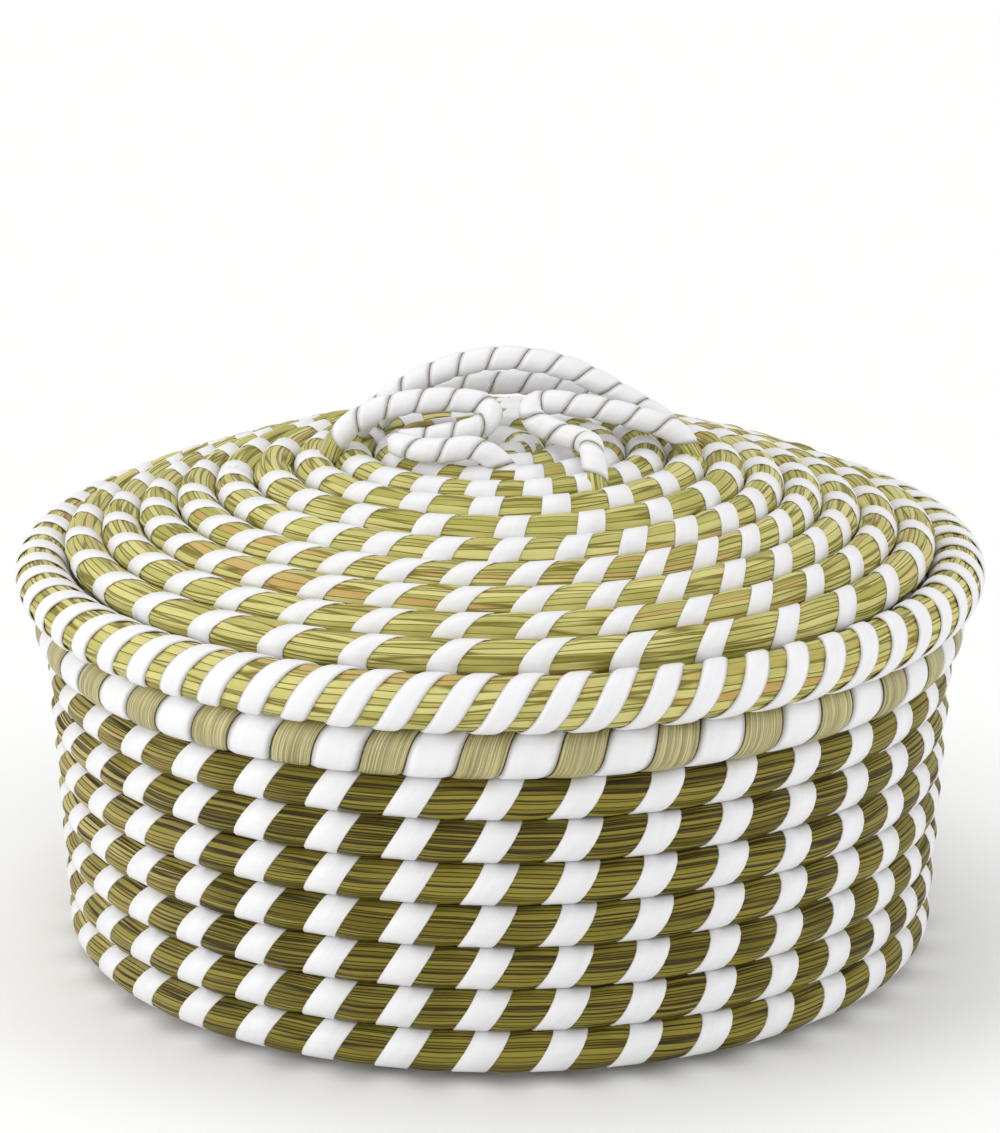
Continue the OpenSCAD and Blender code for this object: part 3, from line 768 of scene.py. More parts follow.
def blade_group():
    """Long grass blades that lie along a bundle, read from its UV map.

    The place along the bundle and the angle round it, which sways slowly, make a straight rod in
    space, in which long thin cells are the blades. Each blade has its own tone and fine veins, and
    some are brown; the gap beside each blade is painted dark, as painted shade between the blades.
    """
    name = "Grass Blades"
    if name in bpy.data.node_groups:
        return bpy.data.node_groups[name]
    group, w, s, last = node_group(
        name,
        {"Way": "Vector", "Tube": "Float", "Blade Width": "Float", "Blade Length": "Float",
         "Gap": "Float", "Dark": "Color", "Middle": "Color", "Light": "Color", "Patch": "Color",
         "Patch Share": "Float"},
        {"Color": "Color", "Height": "Float", "Roughness": "Float"},
    )
    way = w.parts(s["Way"])
    sway = w.times(w.less(w.noise(w.scaled(s["Way"], (9.0, 0.0, 0.0)), 1.0, 2.0), 0.5), 1.6)
    angle = w.add(w.times(way[1], 2 * math.pi), sway)
    thin = w.math("DIVIDE", s["Tube"], s["Blade Width"])
    rod = w.feed(
        w.node("ShaderNodeCombineXYZ"),
        w.math("DIVIDE", way[0], s["Blade Length"]),
        w.times(w.math("COSINE", angle), thin),
        w.times(w.math("SINE", angle), thin),
    )
    cells = w.node("ShaderNodeTexVoronoi", feature="DISTANCE_TO_EDGE")
    tones = w.node("ShaderNodeTexVoronoi", feature="F1")
    for made in (cells, tones):
        w.fill(made, Vector=rod, Scale=1.0, Randomness=0.85)
    edge = w.remap(cells.outputs["Distance"], 0.0, s["Gap"])
    tone = w.node("ShaderNodeSeparateColor")
    w.put(tones.outputs["Color"], tone.inputs[0])
    veins = w.noise(w.scaled(rod, (1.3, 3.2, 3.2)), 1.6, 4.0, 0.6)
    light = w.add(w.times(tone.outputs[0], 0.62), w.times(veins, 0.62))
    body = w.mix(w.remap(light, 0.35, 0.95), s["Middle"], s["Light"])
    dry = w.times(w.remap(tone.outputs[1], w.less(1.0, s["Patch Share"]), 1.0), 0.8)
    body = w.mix(dry, body, s["Patch"])
    body = w.mix(w.remap(veins, 0.27, 0.41, 0.45, 0.0), body, s["Dark"])
    height = w.add(w.times(edge, 0.7), w.times(veins, 0.5))
    # Painted shade: towards a blade's edge the colour goes to the dark tone, for the shade in the gap
    # between blades.
    w.fill(last, Color=w.mix(edge, s["Dark"], body), Height=height,
           Roughness=w.remap(light, 0.2, 1.0, 0.62, 0.42))
    return group


def strip_group():
    """Edge lines and soft cloudy creases, both painted shade, and fibres of a flat strip, read from its
    UV map.
    """
    name = "Strip Finish"
    if name in bpy.data.node_groups:
        return bpy.data.node_groups[name]
    group, w, s, last = node_group(
        name,
        {"Way": "Vector", "Base": "Color", "Edge": "Color", "Edge Width": "Float",
         "Fibres": "Float", "Fibre Depth": "Float", "Fibre Light": "Color", "Crease": "Color"},
        {"Color": "Color", "Height": "Float"},
    )
    way = w.parts(s["Way"])
    side = w.times(w.math("ABSOLUTE", w.less(way[1], 0.5)), 2.0)
    line = w.remap(side, w.less(1.0, s["Edge Width"]), 1.0)
    grain = w.feed(w.node("ShaderNodeCombineXYZ"), w.times(way[0], 30.0), w.times(way[1], s["Fibres"]))
    grain = w.noise(grain, 1.0, 3.0, 0.55)
    crease_shade = w.noise(w.scaled(s["Way"], (60.0, 1.5, 0.0)), 1.0, 2.0)
    tone = w.times(w.remap(grain, 0.35, 0.7), s["Fibre Depth"])
    body = w.mix(tone, s["Base"], s["Fibre Light"])
    # Painted shade: faint grey streaks stand for the shade of soft creases.
    body = w.mix(w.remap(crease_shade, 0.3, 0.75, 0.06, 0.0), body, s["Crease"])
    # Painted shade: the edges of a strip take the edge tone, for the shade in the gap beside it.
    w.fill(last, Color=w.mix(w.times(line, 0.75), body, s["Edge"]),
           Height=w.times(grain, s["Fibre Depth"]))
    return group


def cloth_group():
    """A plain weave, the pile on it and its soft tone, read from the place on the piece."""
    name = "Cloth Weave"
    if name in bpy.data.node_groups:
        return bpy.data.node_groups[name]
    group, w, s, last = node_group(
        name,
        {"Place": "Vector", "Thread": "Float", "Pile": "Float", "Base": "Color", "Shade": "Color"},
        {"Color": "Color", "Height": "Float"},
    )
    per = w.math("DIVIDE", 1.0, s["Thread"])
    threads = w.noise(s["Place"], per, 1.0)
    fuzz = w.noise(s["Place"], w.times(per, 0.42), 4.0, 0.7)
    clumps = w.noise(s["Place"], 320.0, 3.0, 0.6)
    height = w.add(w.times(threads, 0.35), w.times(w.add(fuzz, clumps), s["Pile"]))
    tone = w.remap(w.add(w.times(fuzz, 0.5), w.times(clumps, 0.5)), 0.35, 0.65, 0.10, 0.0)
    tone = w.times(tone, w.add(s["Pile"], 0.2))
    w.fill(last, Color=w.mix(tone, s["Base"], s["Shade"]), Height=height)
    return group


def start_material(name):
    """A new material, its wires and its Principled shader."""
    material = bpy.data.materials.new(name)
    material.use_nodes = True
    material.node_tree.nodes.clear()
    w = Wires(material.node_tree)
    out = w.node("ShaderNodeOutputMaterial")
    shader = w.node("ShaderNodeBsdfPrincipled")
    w.put(shader.outputs[0], out.inputs["Surface"])
    return material, w, shader


def placed_group(w, group, **values):
    """A group in a material's tree with its sockets set, and its outputs."""
    return w.fill(w.node("ShaderNodeGroup", node_tree=group), **values).outputs


def uv_vector(w):
    """The piece's own UV map as a vector."""
    return w.node("ShaderNodeUVMap", uv_map="Way").outputs[0]


def bump(w, shader, height, strength, distance):
    """A bump from a height, whose full depth is the distance in metres."""
    made = w.fill(w.node("ShaderNodeBump"), Strength=strength, Distance=distance, Height=height)
    w.put(made.outputs[0], shader.inputs["Normal"])


def grass_material(name, tube, tones, blade, reach, gap, brown, left_light_share=0.0):
    """Dried grass in three tones, with the width and length of a blade and the gap beside it.

    Brown is the share of brown blades, and the last number how far the grass on the left is painted
    pale, a painted highlight where the light falls from the left.
    """
    if name in bpy.data.materials:
        return bpy.data.materials[name]
    material, w, shader = start_material(name)
    dark, middle, light = (rgba(tone) for tone in tones)
    place = w.place()
    broad = w.noise(place, 26.0, 2.0)
    body = w.mix(w.remap(broad, 0.42, 0.66, 0.0, 0.55), middle, light)
    # Painted highlight: grass on the left side, where the key lamp shines, is painted pale.
    if left_light_share:
        side = w.add(w.times(w.parts(place)[0], -1.0), w.times(broad, 0.03))
        left_light_mask = w.times(w.remap(side, 0.085, 0.14), left_light_share)
        body = w.mix(left_light_mask, body, rgba(colours().left_side_light))
    out = placed_group(
        w, blade_group(), Way=uv_vector(w), Tube=tube, Blade_Width=blade, Blade_Length=reach,
        Gap=gap, Dark=dark, Middle=body, Light=light, Patch=rgba(colours().patch), Patch_Share=brown,
    )
    w.fill(shader, Base_Color=out["Color"], Roughness=out["Roughness"], Specular_IOR_Level=0.18)
    bump(w, shader, out["Height"], 0.8, 0.0005)
    return material


def olive_material():
    """Olive grass of the basket's wall and base, painted pale on the left as a painted highlight."""
    c = colours()
    tones = (c.olive_dark_and_gap_shade, c.olive, c.olive_light)
    return grass_material("Olive grass", sizes()[0].tube, tones, blade=0.0013, reach=0.16, gap=0.13,
                          brown=0.02, left_light_share=0.85)


def lid_grass_material():
    """Lighter, coarser grass of the lid."""
    c = colours()
    tones = (c.lid_dark_and_gap_shade, c.lid_grass, c.lid_light)
    return grass_material("Lid grass", sizes()[1].tube, tones, blade=0.0019, reach=0.07, gap=0.085,
                          brown=0.12)


def flange_grass_material():
    """Grass of the flange under the lid, painted darker than the lid's grass as shade under its rim."""
    c = colours()
    tones = (c.flange_dark_and_gap_shade, c.flange, c.flange_light)
    return grass_material("Flange grass", sizes()[1].flange_tube, tones, blade=0.0019, reach=0.07,
                          gap=0.1, brown=0.10)


def strip_material(name, tones, fibres, depth, rough, bumpiness):
    """A binding strip in the tones of its base, its edge, which is painted shade, and its fibres, which
    lie side by side.
    """
    if name in bpy.data.materials:
        return bpy.data.materials[name]
    material, w, shader = start_material(name)
    base, edge, light = (rgba(tone) for tone in tones)
    out = placed_group(
        w, strip_group(), Way=uv_vector(w), Base=base, Edge=edge, Edge_Width=0.05, Fibres=fibres,
        Fibre_Depth=depth, Fibre_Light=light, Crease=rgba(colours().crease),
    )
    w.fill(shader, Base_Color=out["Color"], Roughness=rough, Specular_IOR_Level=0.4)
    bump(w, shader, out["Height"], bumpiness, 0.0004)
    return material


def white_material():
    """White binding strip, smooth with faint creases and a cream edge, both painted shade."""
    c = colours()
    return strip_material("White strip", (c.white, c.strip_edge_shade, c.strip_light), fibres=5.0,
                          depth=0.30, rough=0.42, bumpiness=0.3)


def straw_material():
    """Straw wraps: fine pale straws side by side, with painted shade in the gap along each edge."""
    c = colours()
    return strip_material("Straw strip", (c.straw, c.straw_gap_shade, c.straw_light), fibres=26.0,
                          depth=0.95, rough=0.36, bumpiness=0.8)


def cloth_material(name, base, pile, bumpiness, distance, sheen):
    """A cotton or fleece cloth."""
    if name in bpy.data.materials:
        return bpy.data.materials[name]
    material, w, shader = start_material(name)
    out = placed_group(w, cloth_group(), Place=w.place(), Thread=0.0005, Pile=pile, Base=rgba(base),
                       Shade=rgba(colours().shade))
    w.fill(shader, Base_Color=out["Color"], Roughness=0.95, Specular_IOR_Level=0.15,
           Sheen_Weight=sheen, Sheen_Roughness=0.5)
    bump(w, shader, out["Height"], bumpiness, distance)
    return material


def cotton_material():
    """White cotton of the liner."""
    return cloth_material("Liner cotton", colours().cotton, pile=0.05, bumpiness=0.35,
                          distance=0.0002, sheen=0.2)


def fleece_material():
    """White fleece of the pad, with a short pile."""
    return cloth_material("Pad fleece", colours().fleece, pile=1.0, bumpiness=0.5,
                          distance=0.0006, sheen=0.8)


def thread_material():
    """Twisted sewing thread of the pad's seams, with painted shade in the hollows of its twist."""
    material, w, shader = start_material("Sewing thread")
    # Painted shade: the hollows of the twist are painted darker.
    hollow_shade_mask = w.noise(w.place(), 1800.0, 2.0)
    tone = w.mix(hollow_shade_mask, rgba(colours().thread_hollow_shade), rgba(colours().thread))
    w.fill(shader, Base_Color=tone, Roughness=0.7)
    return material


def seen_rays(w):
    """1 for rays from the camera, off a glossy surface or through a clear one, and 0 for others."""
    path = w.node("ShaderNodeLightPath").outputs
    shown = w.math("MAXIMUM", path["Is Camera Ray"], path["Is Glossy Ray"])
    return w.math("MAXIMUM", shown, path["Is Transmission Ray"])


def floor_material():
    """A plain pale floor that turns to plain white away from the basket."""
    material, w, shader = start_material("Pale floor")
    w.fill(shader, Base_Color=rgba(colours().floor), Roughness=0.9, Specular_IOR_Level=0.1)
    reach = w.node("ShaderNodeVectorMath", operation="LENGTH")
    w.put(w.place(), reach.inputs[0])
    away = w.times(w.remap(reach.outputs["Value"], *FLOOR_FADE), seen_rays(w))
    white = w.feed(w.node("ShaderNodeEmission"), rgba(colours().backdrop), 1.0)
    surface_end = shader.outputs[0].links[0].to_socket
    w.put(w.feed(w.node("ShaderNodeMixShader"), away, shader.outputs[0], white), surface_end)
    return material


# ---------------------------------------------------------------- pieces


def basket_coils():
    """The coils of the base and the wall."""
    basket = sizes()[0]
    base = Coil(base_rings(), basket.tube)
    wall = Coil(wall_rings(), basket.tube, lifting=[0], beside=rim_ring(),
                beside_tube=basket.rim_tube, tail=TAIL)
    return base, wall


def wall_stitching(wall):
    """The wall's stitches: as many in each row, each row's turned a little past the one below."""
    basket, _, binding, _ = sizes()
    n = basket.rows + 1
    counts = [binding.wall_stitches] * n
    phases = binding.wall_phase + binding.wall_drift * np.arange(n)
    return Stitching(wall, counts, binding.wall_width, binding.wall_run, phases, np.zeros(n))


def base_stitching(base):
    """The base's stitches: fewer on the inner rows, facing down."""
    basket, _, binding, _ = sizes()
    counts = np.round(np.linspace(4, binding.wall_stitches - 4, basket.base_rows))
    facing = np.full(basket.base_rows, -math.pi / 2)
    width = binding.wall_width * 0.85
    return Stitching(base, counts, width, binding.wall_run, np.zeros(basket.base_rows), facing)


class BASKET_OT_base(bpy.types.Operator):
    """Builds the flat base: one bundle wound in a spiral, with its binding"""

    bl_idname = "basket.base"
    bl_label = "Base"

    def execute(self, context):
        base = basket_coils()[0]
        stitching = base_stitching(base)
        bundle = grass_bundle("base_bundle", base, olive_material(), 0.0035, 24, 11, stitching,
                              lump=0.0002, floor=BUNDLE_FLOOR)
        placed(bundle, "basket", "olive_grass", "base_coil")
        strips = strip_loops("base_bindings", stitching)
        keep_above_floor(strips)
        placed(strips, "basket", "white_strip")
        return {"FINISHED"}


class BASKET_OT_wall(bpy.types.Operator):
    """Builds the wall: the bundle winds up in rows, each bound with slanted strips"""

    bl_idname = "basket.wall"
    bl_label = "Wall"

    def execute(self, context):
        wall = basket_coils()[1]
        stitching = wall_stitching(wall)
        bundle = grass_bundle("wall_bundle", wall, olive_material(), 0.0028, 36, 21, stitching,
                              start=FULL, floor=BUNDLE_FLOOR)
        placed(bundle, "basket", "olive_grass", "wall_coil")
        strips = strip_loops("wall_bindings", stitching, start=FULL + 8)
        keep_above_floor(strips)
        placed(strips, "basket", "white_strip", "wall_stitches")
        return {"FINISHED"}


class BASKET_OT_rim(bpy.types.Operator):
    """Builds the rim: a thick bundle under white and straw strips wound side by side"""

    bl_idname = "basket.rim"
    bl_label = "Rim"

    def execute(self, context):
        basket, _, binding, _ = sizes()
        ring, tube = rim_ring(), basket.rim_tube
        core = Ring(ring, tube - CORE_DEPTH)
        bundle = grass_bundle("rim_bundle", core, olive_material(), 0.004, 24, 31, lump=0.0001,
                              closed=True)
        placed(bundle, "basket", "olive_grass", "rim_coil")
        pitch = FULL / binding.rim_pairs
        white = helix_wrap("rim_white_wrap", ring, tube, white_material(), 1, binding.rim_pairs,
                           binding.rim_share, RIM_PHASE, slide=0.0023)
        placed(white, "basket", "white_strip", "rim_wraps_white")
        straw = helix_wrap("rim_straw_wrap", ring, tube, straw_material(), 1, binding.rim_pairs,
                           1 - binding.rim_share, RIM_PHASE + pitch / 2, across=24, ridges=11,
                           slide=0.0023)
        placed(straw, "basket", "straw_strip", "rim_wraps_natural")
        return {"FINISHED"}


def swayed(turn, waves, sways):
    """Waves round a circle that are drawn together and apart.

    To so many waves the sways are added, sines of a size, a number of waves and a phase.
    """
    total = waves * turn
    for size, number_of_waves, phase in sways:
        total = total + size * np.sin(number_of_waves * turn + phase)
    return total


def liner_side(rows, cols):
    """Points of the liner's gathered side.

    From a little inside a plain cone the cloth falls inwards by broad folds, long waves, ripples
    and sharp gathers, which are weaker at the foot. Its edge sags in long waves.
    """
    cloth = sizes()[3]
    share = np.linspace(0, 1, rows)[:, None]
    turn = ring_of(cols)[None, :]
    wide = wander_ring(turn, 45, 9)
    rise = cloth.liner_top - cloth.liner_foot - 2 * CLOTH_ROOM
    level = cloth.liner_foot + CLOTH_ROOM + rise * share
    level = level - 0.0040 * share**2 * (0.5 + 0.5 * wide)
    folds = swayed(turn, cloth.folds, ((1.7, 3, 0.4), (0.9, 5, 2), (0.7 * share, 4, 0)))
    lobe = (0.5 + 0.5 * np.sin(folds)) ** 1.6
    ripple = wander_ring(turn + 0.10 * share * np.sin(3 * turn), 42, 41)
    gathers = swayed(turn, 13, ((1.5, 4, 1.1), (0.9, 7, 0), (0.5 * share, 6, 1)))
    gathers = (np.sin(gathers) ** 2 + 0.002) ** 0.38 * (0.85 + 0.3 * wander_ring(turn, 44, 8))
    hang = 0.35 + 0.65 * np.sin(share * math.pi * 0.62)
    cone = cloth.liner_foot_radius + (cloth.liner_top_radius - cloth.liner_foot_radius) * share
    radius = cone - 2 * CLOTH_ROOM
    radius = radius - cloth.fold * hang * (0.9 * lobe + 0.5 * (0.5 + 0.5 * wide))
    radius = radius + 0.0007 * ripple * hang - 0.0004 * np.sin(folds * 2 + 5 * share)
    radius = radius - 0.0082 * gathers * (1 - 0.35 * share**2) * np.minimum(1, 5 * share + 0.35)
    radius = np.minimum(radius, cone)
    return np.stack([radius * np.cos(turn), radius * np.sin(turn), level], -1)


def liner_floor(rows, cols, edge):
    """Points of the liner's round floor.

    It is lifted by sharp creases, broad waves and small wrinkles, which fade towards its edge.
    """
    rings = np.linspace(0.002, 1, rows)[:, None]
    turn = ring_of(cols)[None, :]
    x, y = edge * rings * np.cos(turn), edge * rings * np.sin(turn)
    crease = np.exp(-np.abs(wander(x * 30 + y * 17, 46) + 0.6 * wander(y * 36 - x * 9, 47)) * 7)
    lift = 0.0016 * crease + 0.0010 * wander_ring(turn, 43, 7) * rings
    lift = lift * np.minimum(1, 8 * (1 - rings) + 0.1)
    wrinkle = 1 + wander(x * 70 + 1.3 * wander(y * 50, 48), 49)
    lift = lift + 0.0012 * wrinkle * np.minimum(1, 4 * (1 - rings))
    return np.stack([x, y, sizes()[3].liner_foot + 0.0008 + lift], -1)


def thicken(piece):
    """Gives a cloth its thickness, half to each side."""
    thick = piece.modifiers.new("Cloth", "SOLIDIFY")
    thick.thickness, thick.offset = CLOTH_THICKNESS, 0.0


class BASKET_OT_liner(bpy.types.Operator):
    """Builds the liner: a gathered cotton side and its round floor"""

    bl_idname = "basket.liner"
    bl_label = "Liner"

    def execute(self, context):
        cloth = sizes()[3]
        rows, rings, cols = 44, 40, 840
        side = surface("liner_cloth", liner_side(rows, cols), cotton_material(),
                       np.linspace(0, 0.0604, rows), np.linspace(0, 0.75, cols + 1), close_cols=True)
        thicken(side)
        placed(side, "basket", "liner_cotton", "liner_side")
        edge = cloth.liner_foot_radius - 0.0052
        floor = surface("liner_floor", liner_floor(rings, cols, edge), cotton_material(),
                        np.linspace(0, edge, rings), np.linspace(0, 0.7, cols + 1), close_cols=True)
        close_hole(floor, cols)
        thicken(floor)
        placed(floor, "basket", "liner_cotton", "liner_bottom")
        return {"FINISHED"}


# The pad: half the gap between its covers, how far past their radius they run into the edge
# roll, and the length of a sewn stitch.
PAD_SPLIT = 0.0003
FACE_SPREAD = 0.0018
SEAM_STITCH = 0.0042


def seam_distance(x, y, turn):
    """Distance to the nearer line of the sewn cross."""
    a = math.radians(turn)
    across, along = x * math.sin(a), y * math.cos(a)
    return np.minimum(np.abs(across - along), np.abs(across + along))


def pad_roll(rows, cols):
    """Points of the pad's edge roll, a little flat, which swells, is pinched, sways and dips."""
    cloth = sizes()[3]
    t, a = ring_of(rows), ring_of(cols)
    puff = 0.0006 * wander_ring(t, 51, 26) - 0.0010 * np.clip(wander_ring(t, 53, 40) - 0.35, 0, 1)
    bulge = 0.0012 * wander_ring(t, 54, 14)
    tube = cloth.roll_tube + 0.0002 + puff[:, None]
    dip = 0.0007 * wander_ring(t, 52, 12)
    r = cloth.roll_radius + 0.0004 + bulge[:, None] + tube * np.cos(a)[None] * 1.12
    z = cloth.pad_level + PAD_SPLIT + tube * np.sin(a)[None] + dip[:, None]
    return np.stack([r * np.cos(t)[:, None], r * np.sin(t)[:, None], z], -1)


class BASKET_OT_pad(bpy.types.Operator):
    """Builds the pad: two crowned fleece faces sewn in a cross, and a thick edge roll"""

    bl_idname = "basket.pad"
    bl_label = "Pad"

    def execute(self, context):
        for name, node, way, crown, sew in (
            ("pad_top", "pad_upper_cover", 1, sizes()[3].crown, 1.0),
            ("pad_under", "pad_lower_cover", -1, 0.0015, 0.4),
        ):
            face = quilted_face(name, way, crown, sew)
            placed(face, "pad", "pad_fleece", node)
        seam_threads()
        rows, cols = 480, 28
        roll = surface("pad_roll", pad_roll(rows, cols)[:, ::-1], fleece_material(),
                       np.linspace(0, 0.72, rows + 1), np.linspace(0, 0.03, cols + 1),
                       close_rows=True, close_cols=True)
        placed(roll, "pad", "pad_fleece", "pad_edge_roll")
        return {"FINISHED"}


def face_height(x, y, turn, crown, sew):
    """Height of the pad's upper face over its middle.

    Each quarter swells between the seams and falls softly to the groove beside the edge roll; the
    sewn cross presses a wide valley with a narrow crease in it, and puckers run off the crease.
    """
    cloth = sizes()[3]
    share = np.clip(np.hypot(x, y) / (cloth.face_radius + FACE_SPREAD), 0, 1)
    off = seam_distance(x, y, cloth.seam_turn)
    swell = cloth.groove + (crown + 0.0022 - cloth.groove) * (1 - share**5)
    edge = np.sqrt(np.clip(1 - share**60, 0.05, 1))
    valley = 0.0034 * np.exp(-((off / 0.017) ** 2)) + 0.0014 * np.exp(-((off / 0.0026) ** 2))
    pucker = 0.0006 * np.exp(-off / 0.012) * wander(np.hypot(x, y) * 420, 61)
    soft = 0.0007 * wander(x * 38, 62) * wander(y * 38, 63)
    soft = soft + 0.0009 * wander_ring(turn, 64, 17) * share**4
    return (swell + soft * (1 - share**12)) * edge - sew * (valley + pucker) * (1 - share**14)


def seam_threads():
    """Thread along the two seams of the pad: a thin round cord that dips between stitches."""
    cloth = sizes()[3]
    grids = []
    for side in (1, -1):
        a = math.radians(cloth.seam_turn) * side
        s = np.linspace(-0.105, 0.105, 700)
        x, y = s * math.cos(a), s * math.sin(a)
        arc = np.abs(np.cos(s * math.pi / SEAM_STITCH))
        z = cloth.pad_level + PAD_SPLIT + face_height(x, y, np.full(s.shape, a), cloth.crown, 1.0)
        z = z + 0.00035 * arc - 0.00005
        r = 0.00042 * (0.55 + 0.45 * arc)
        b = np.arange(8) * math.pi / 4
        across = np.stack([-math.sin(a) * np.cos(b), math.cos(a) * np.cos(b), np.sin(b)], -1)
        middle = np.stack([x, y, z], -1)
        grids.append(middle[:, None] + r[:, None, None] * across[None])
    threads = surface("pad_seam_threads", np.array(grids)[:, :, ::-1], thread_material(),
                      close_cols=True, ends=True)
    placed(threads, "pad", "pad_fleece")


def quilted_face(name, way, crown, sew):
    """A crowned face of the pad with its flat back.

    The upper one takes its height from face_height; the lower one swells less, falls with the
    third power of the radius and drops in soft channels along the sewn cross.
    """
    cloth = sizes()[3]
    rows, cols = 72, 288
    share = np.sin(np.linspace(0.01, 1, rows) * math.pi / 2)[:, None]
    turn = ring_of(cols)[None]
    r = (cloth.face_radius + FACE_SPREAD) * share
    x, y = r * np.cos(turn), r * np.sin(turn)
    if way > 0:
        height = face_height(x, y, turn, crown, sew)
    else:
        channel = np.exp(-((seam_distance(x, y, cloth.seam_turn) / 0.01) ** 2)) * (1 - share**8)
        height = 0.0021 + crown * (1 - share**3) - sew * 0.004 * channel
    level = cloth.pad_level + way * PAD_SPLIT
    front = np.stack([x, y, level + way * height], -1)
    back = np.stack([x, y, np.full(x.shape, level)], -1)
    points = np.concatenate([back, front[::-1]], 0)
    if way > 0:
        points = points[:, ::-1]
    return surface(name, points, fleece_material(), np.linspace(0, 0.2, 2 * rows),
                   np.linspace(0, 0.7, cols + 1), close_cols=True, ends=True)


def lid_coil():
    """The lid's coil, whose tail thins away against the lid's rim."""
    lid = sizes()[1]
    return Coil(lid_rings(), lid.tube, beside=lid_rim_ring(), beside_tube=lid.rim_tube, tail=TAIL)


# The lid's inner rows, from the middle outwards: how many stitches, and the turn of the first.
# Then the turn of the first stitch in every outer row, and in the flange's two rows.
LID_COUNTS = [5, 9, 14, 18, 18, 19, 28]
LID_PHASES = [0, 6, 3, 4.6, 6.8, 8.4, 3.0]
LID_OUTER_PHASE = 265.2
FLANGE_PHASES = [262.4, 263.6]


def lid_stitching(coil):
    """The lid's stitches, fewer on the inner rows, facing square out of the dome.

    They slant in full on the outer rows and less and less further in.
    """
    _, lid, binding, _ = sizes()
    n = lid.rows
    counts = (LID_COUNTS + [binding.lid_stitches] * n)[:n]
    phases = (LID_PHASES + [LID_OUTER_PHASE] * n)[:n]
    facing = math.pi / 2 - lid_slope(coil.rings[:, 0])
    run = binding.lid_run * np.clip((np.arange(n) - 3.5) / 3.5, 0.3, 1)
    return Stitching(coil, counts, binding.lid_width, run, phases, facing)


class BASKET_OT_lid(bpy.types.Operator):
    """Builds the lid: one bundle wound in a shallow dome, with its binding"""

    bl_idname = "basket.lid"
    bl_label = "Lid"

    def execute(self, context):
        coil = lid_coil()
        stitching = lid_stitching(coil)
        bundle = grass_bundle("lid_bundle", coil, lid_grass_material(), 0.0026, 40, 71, stitching,
                              lump=0.00045, pinch=0.0006)
        placed(bundle, "lid", "light_grass", "lid_coil")
        strips = strip_loops("lid_bindings", stitching)
        placed(strips, "lid", "white_strip", "lid_stitches")
        return {"FINISHED"}


class BASKET_OT_lid_rim(bpy.types.Operator):
    """Builds the lid's rim: a thick grass bundle with white strips wound round it"""

    bl_idname = "basket.lid_rim"
    bl_label = "Lid rim"

    def execute(self, context):
        _, lid, binding, _ = sizes()
        ring = lid_rim_ring()
        core = Ring(ring, lid.rim_tube - CORE_DEPTH)
        bundle = grass_bundle("lid_rim_bundle", core, lid_grass_material(), 0.0024, 48, 81,
                              lump=0.0003, closed=True)
        placed(bundle, "lid", "light_grass", "lid_rim_coil")
        wrap = helix_wrap("lid_rim_wrap", ring, lid.rim_tube, white_material(), 2, binding.lid_wraps,
                          binding.lid_wrap_share, LID_RIM_PHASE)
        placed(wrap, "lid", "white_strip", "lid_rim_wraps")
        return {"FINISHED"}


class BASKET_OT_flange(bpy.types.Operator):
    """Builds the lid's flange: one bundle of two rows that drops into the basket"""

    bl_idname = "basket.flange"
    bl_label = "Flange"

    def execute(self, context):
        _, lid, binding, _ = sizes()
        coil = Coil(flange_rings(), lid.flange_tube, lifting=[0])
        counts = [binding.lid_stitches] * 2
        stitching = Stitching(coil, counts, binding.lid_width, 0.0026, FLANGE_PHASES, [0.0, 0.0])
        bundle = grass_bundle("flange_bundle", coil, flange_grass_material(), 0.0026, 36, 91,
                              stitching, lump=0.0004)
        placed(bundle, "lid", "light_grass", "lid_flange_coil")
        strips = strip_loops("flange_bindings", stitching, start=HALF + 3, stop=coil.end - 3)
        placed(strips, "lid", "white_strip")
        return {"FINISHED"}


# Places on each cord of the handle, in millimetres from the middle of the lid's top.
CORDS = {
    "arch": [(-41, 8, 3.2), (-29, 8, 13), (-14, 8, 20), (2, 8, 22.6), (20, 8, 19.5), (36, 7, 11.5),
             (50, 5, 3)],
    "back_strand": [(-34, 20, 3.2), (-20, 20, 9), (2, 20, 12), (24, 20, 9), (40, 18, 3)],
    "left_loop": [(-47, -6, 3), (-38, -6, 9.5), (-25, -5, 12.5), (-11, -4, 12.6), (-3, -6, 10.5),
                  (-6, -12, 6.5), (-20, -16, 4.2), (-30, -21, 4), (-20, -29, 3.9), (-5, -30, 4)],
    "right_loop": [(52, -4, 3), (38, -4, 8), (24, -4, 11), (12, -4, 12), (9, -8, 9), (16, -13, 5.5),
                   (25, -20, 4.2), (27, -31, 4)],
}

# How a cord's end goes on into the lid: the share of its last span, and how deep in millimetres.
# A loop's last end goes further and deeper.
OUTER_END = (0.45, 9)
LOOP_END = (0.9, 13)

# Sizes of a cord: the radius of its grass, the length of its domed ends, and its strip's width,
# screw pitch, outer radius and thickness.
CORD_GRASS = 0.0031
CORD_CAP = 0.002
CORD_STRIP = 0.0092
CORD_PITCH = 0.0094
CORD_RADIUS = 0.0037
CORD_THICKNESS = 0.00045


def sunk_ends(name, stations):
    """The stations of a cord with both ends led on and down between the lid's rows."""
    p = np.array(stations, float)
    last_end = LOOP_END if name.endswith("loop") else OUTER_END
    ends = []
    for end, before, (share, depth) in ((p[0], p[1], OUTER_END), (p[-1], p[-2], last_end)):
        ends.append(end + share * (end - before) * (1, 1, 0) - (0, 0, depth))
    return np.vstack([ends[0], p, ends[1]])


def read_at(place, run, values):
    """Values given at lengths along a path, read at other places along it."""
    return np.stack([np.interp(place, run, values[:, k]) for k in range(3)], -1)


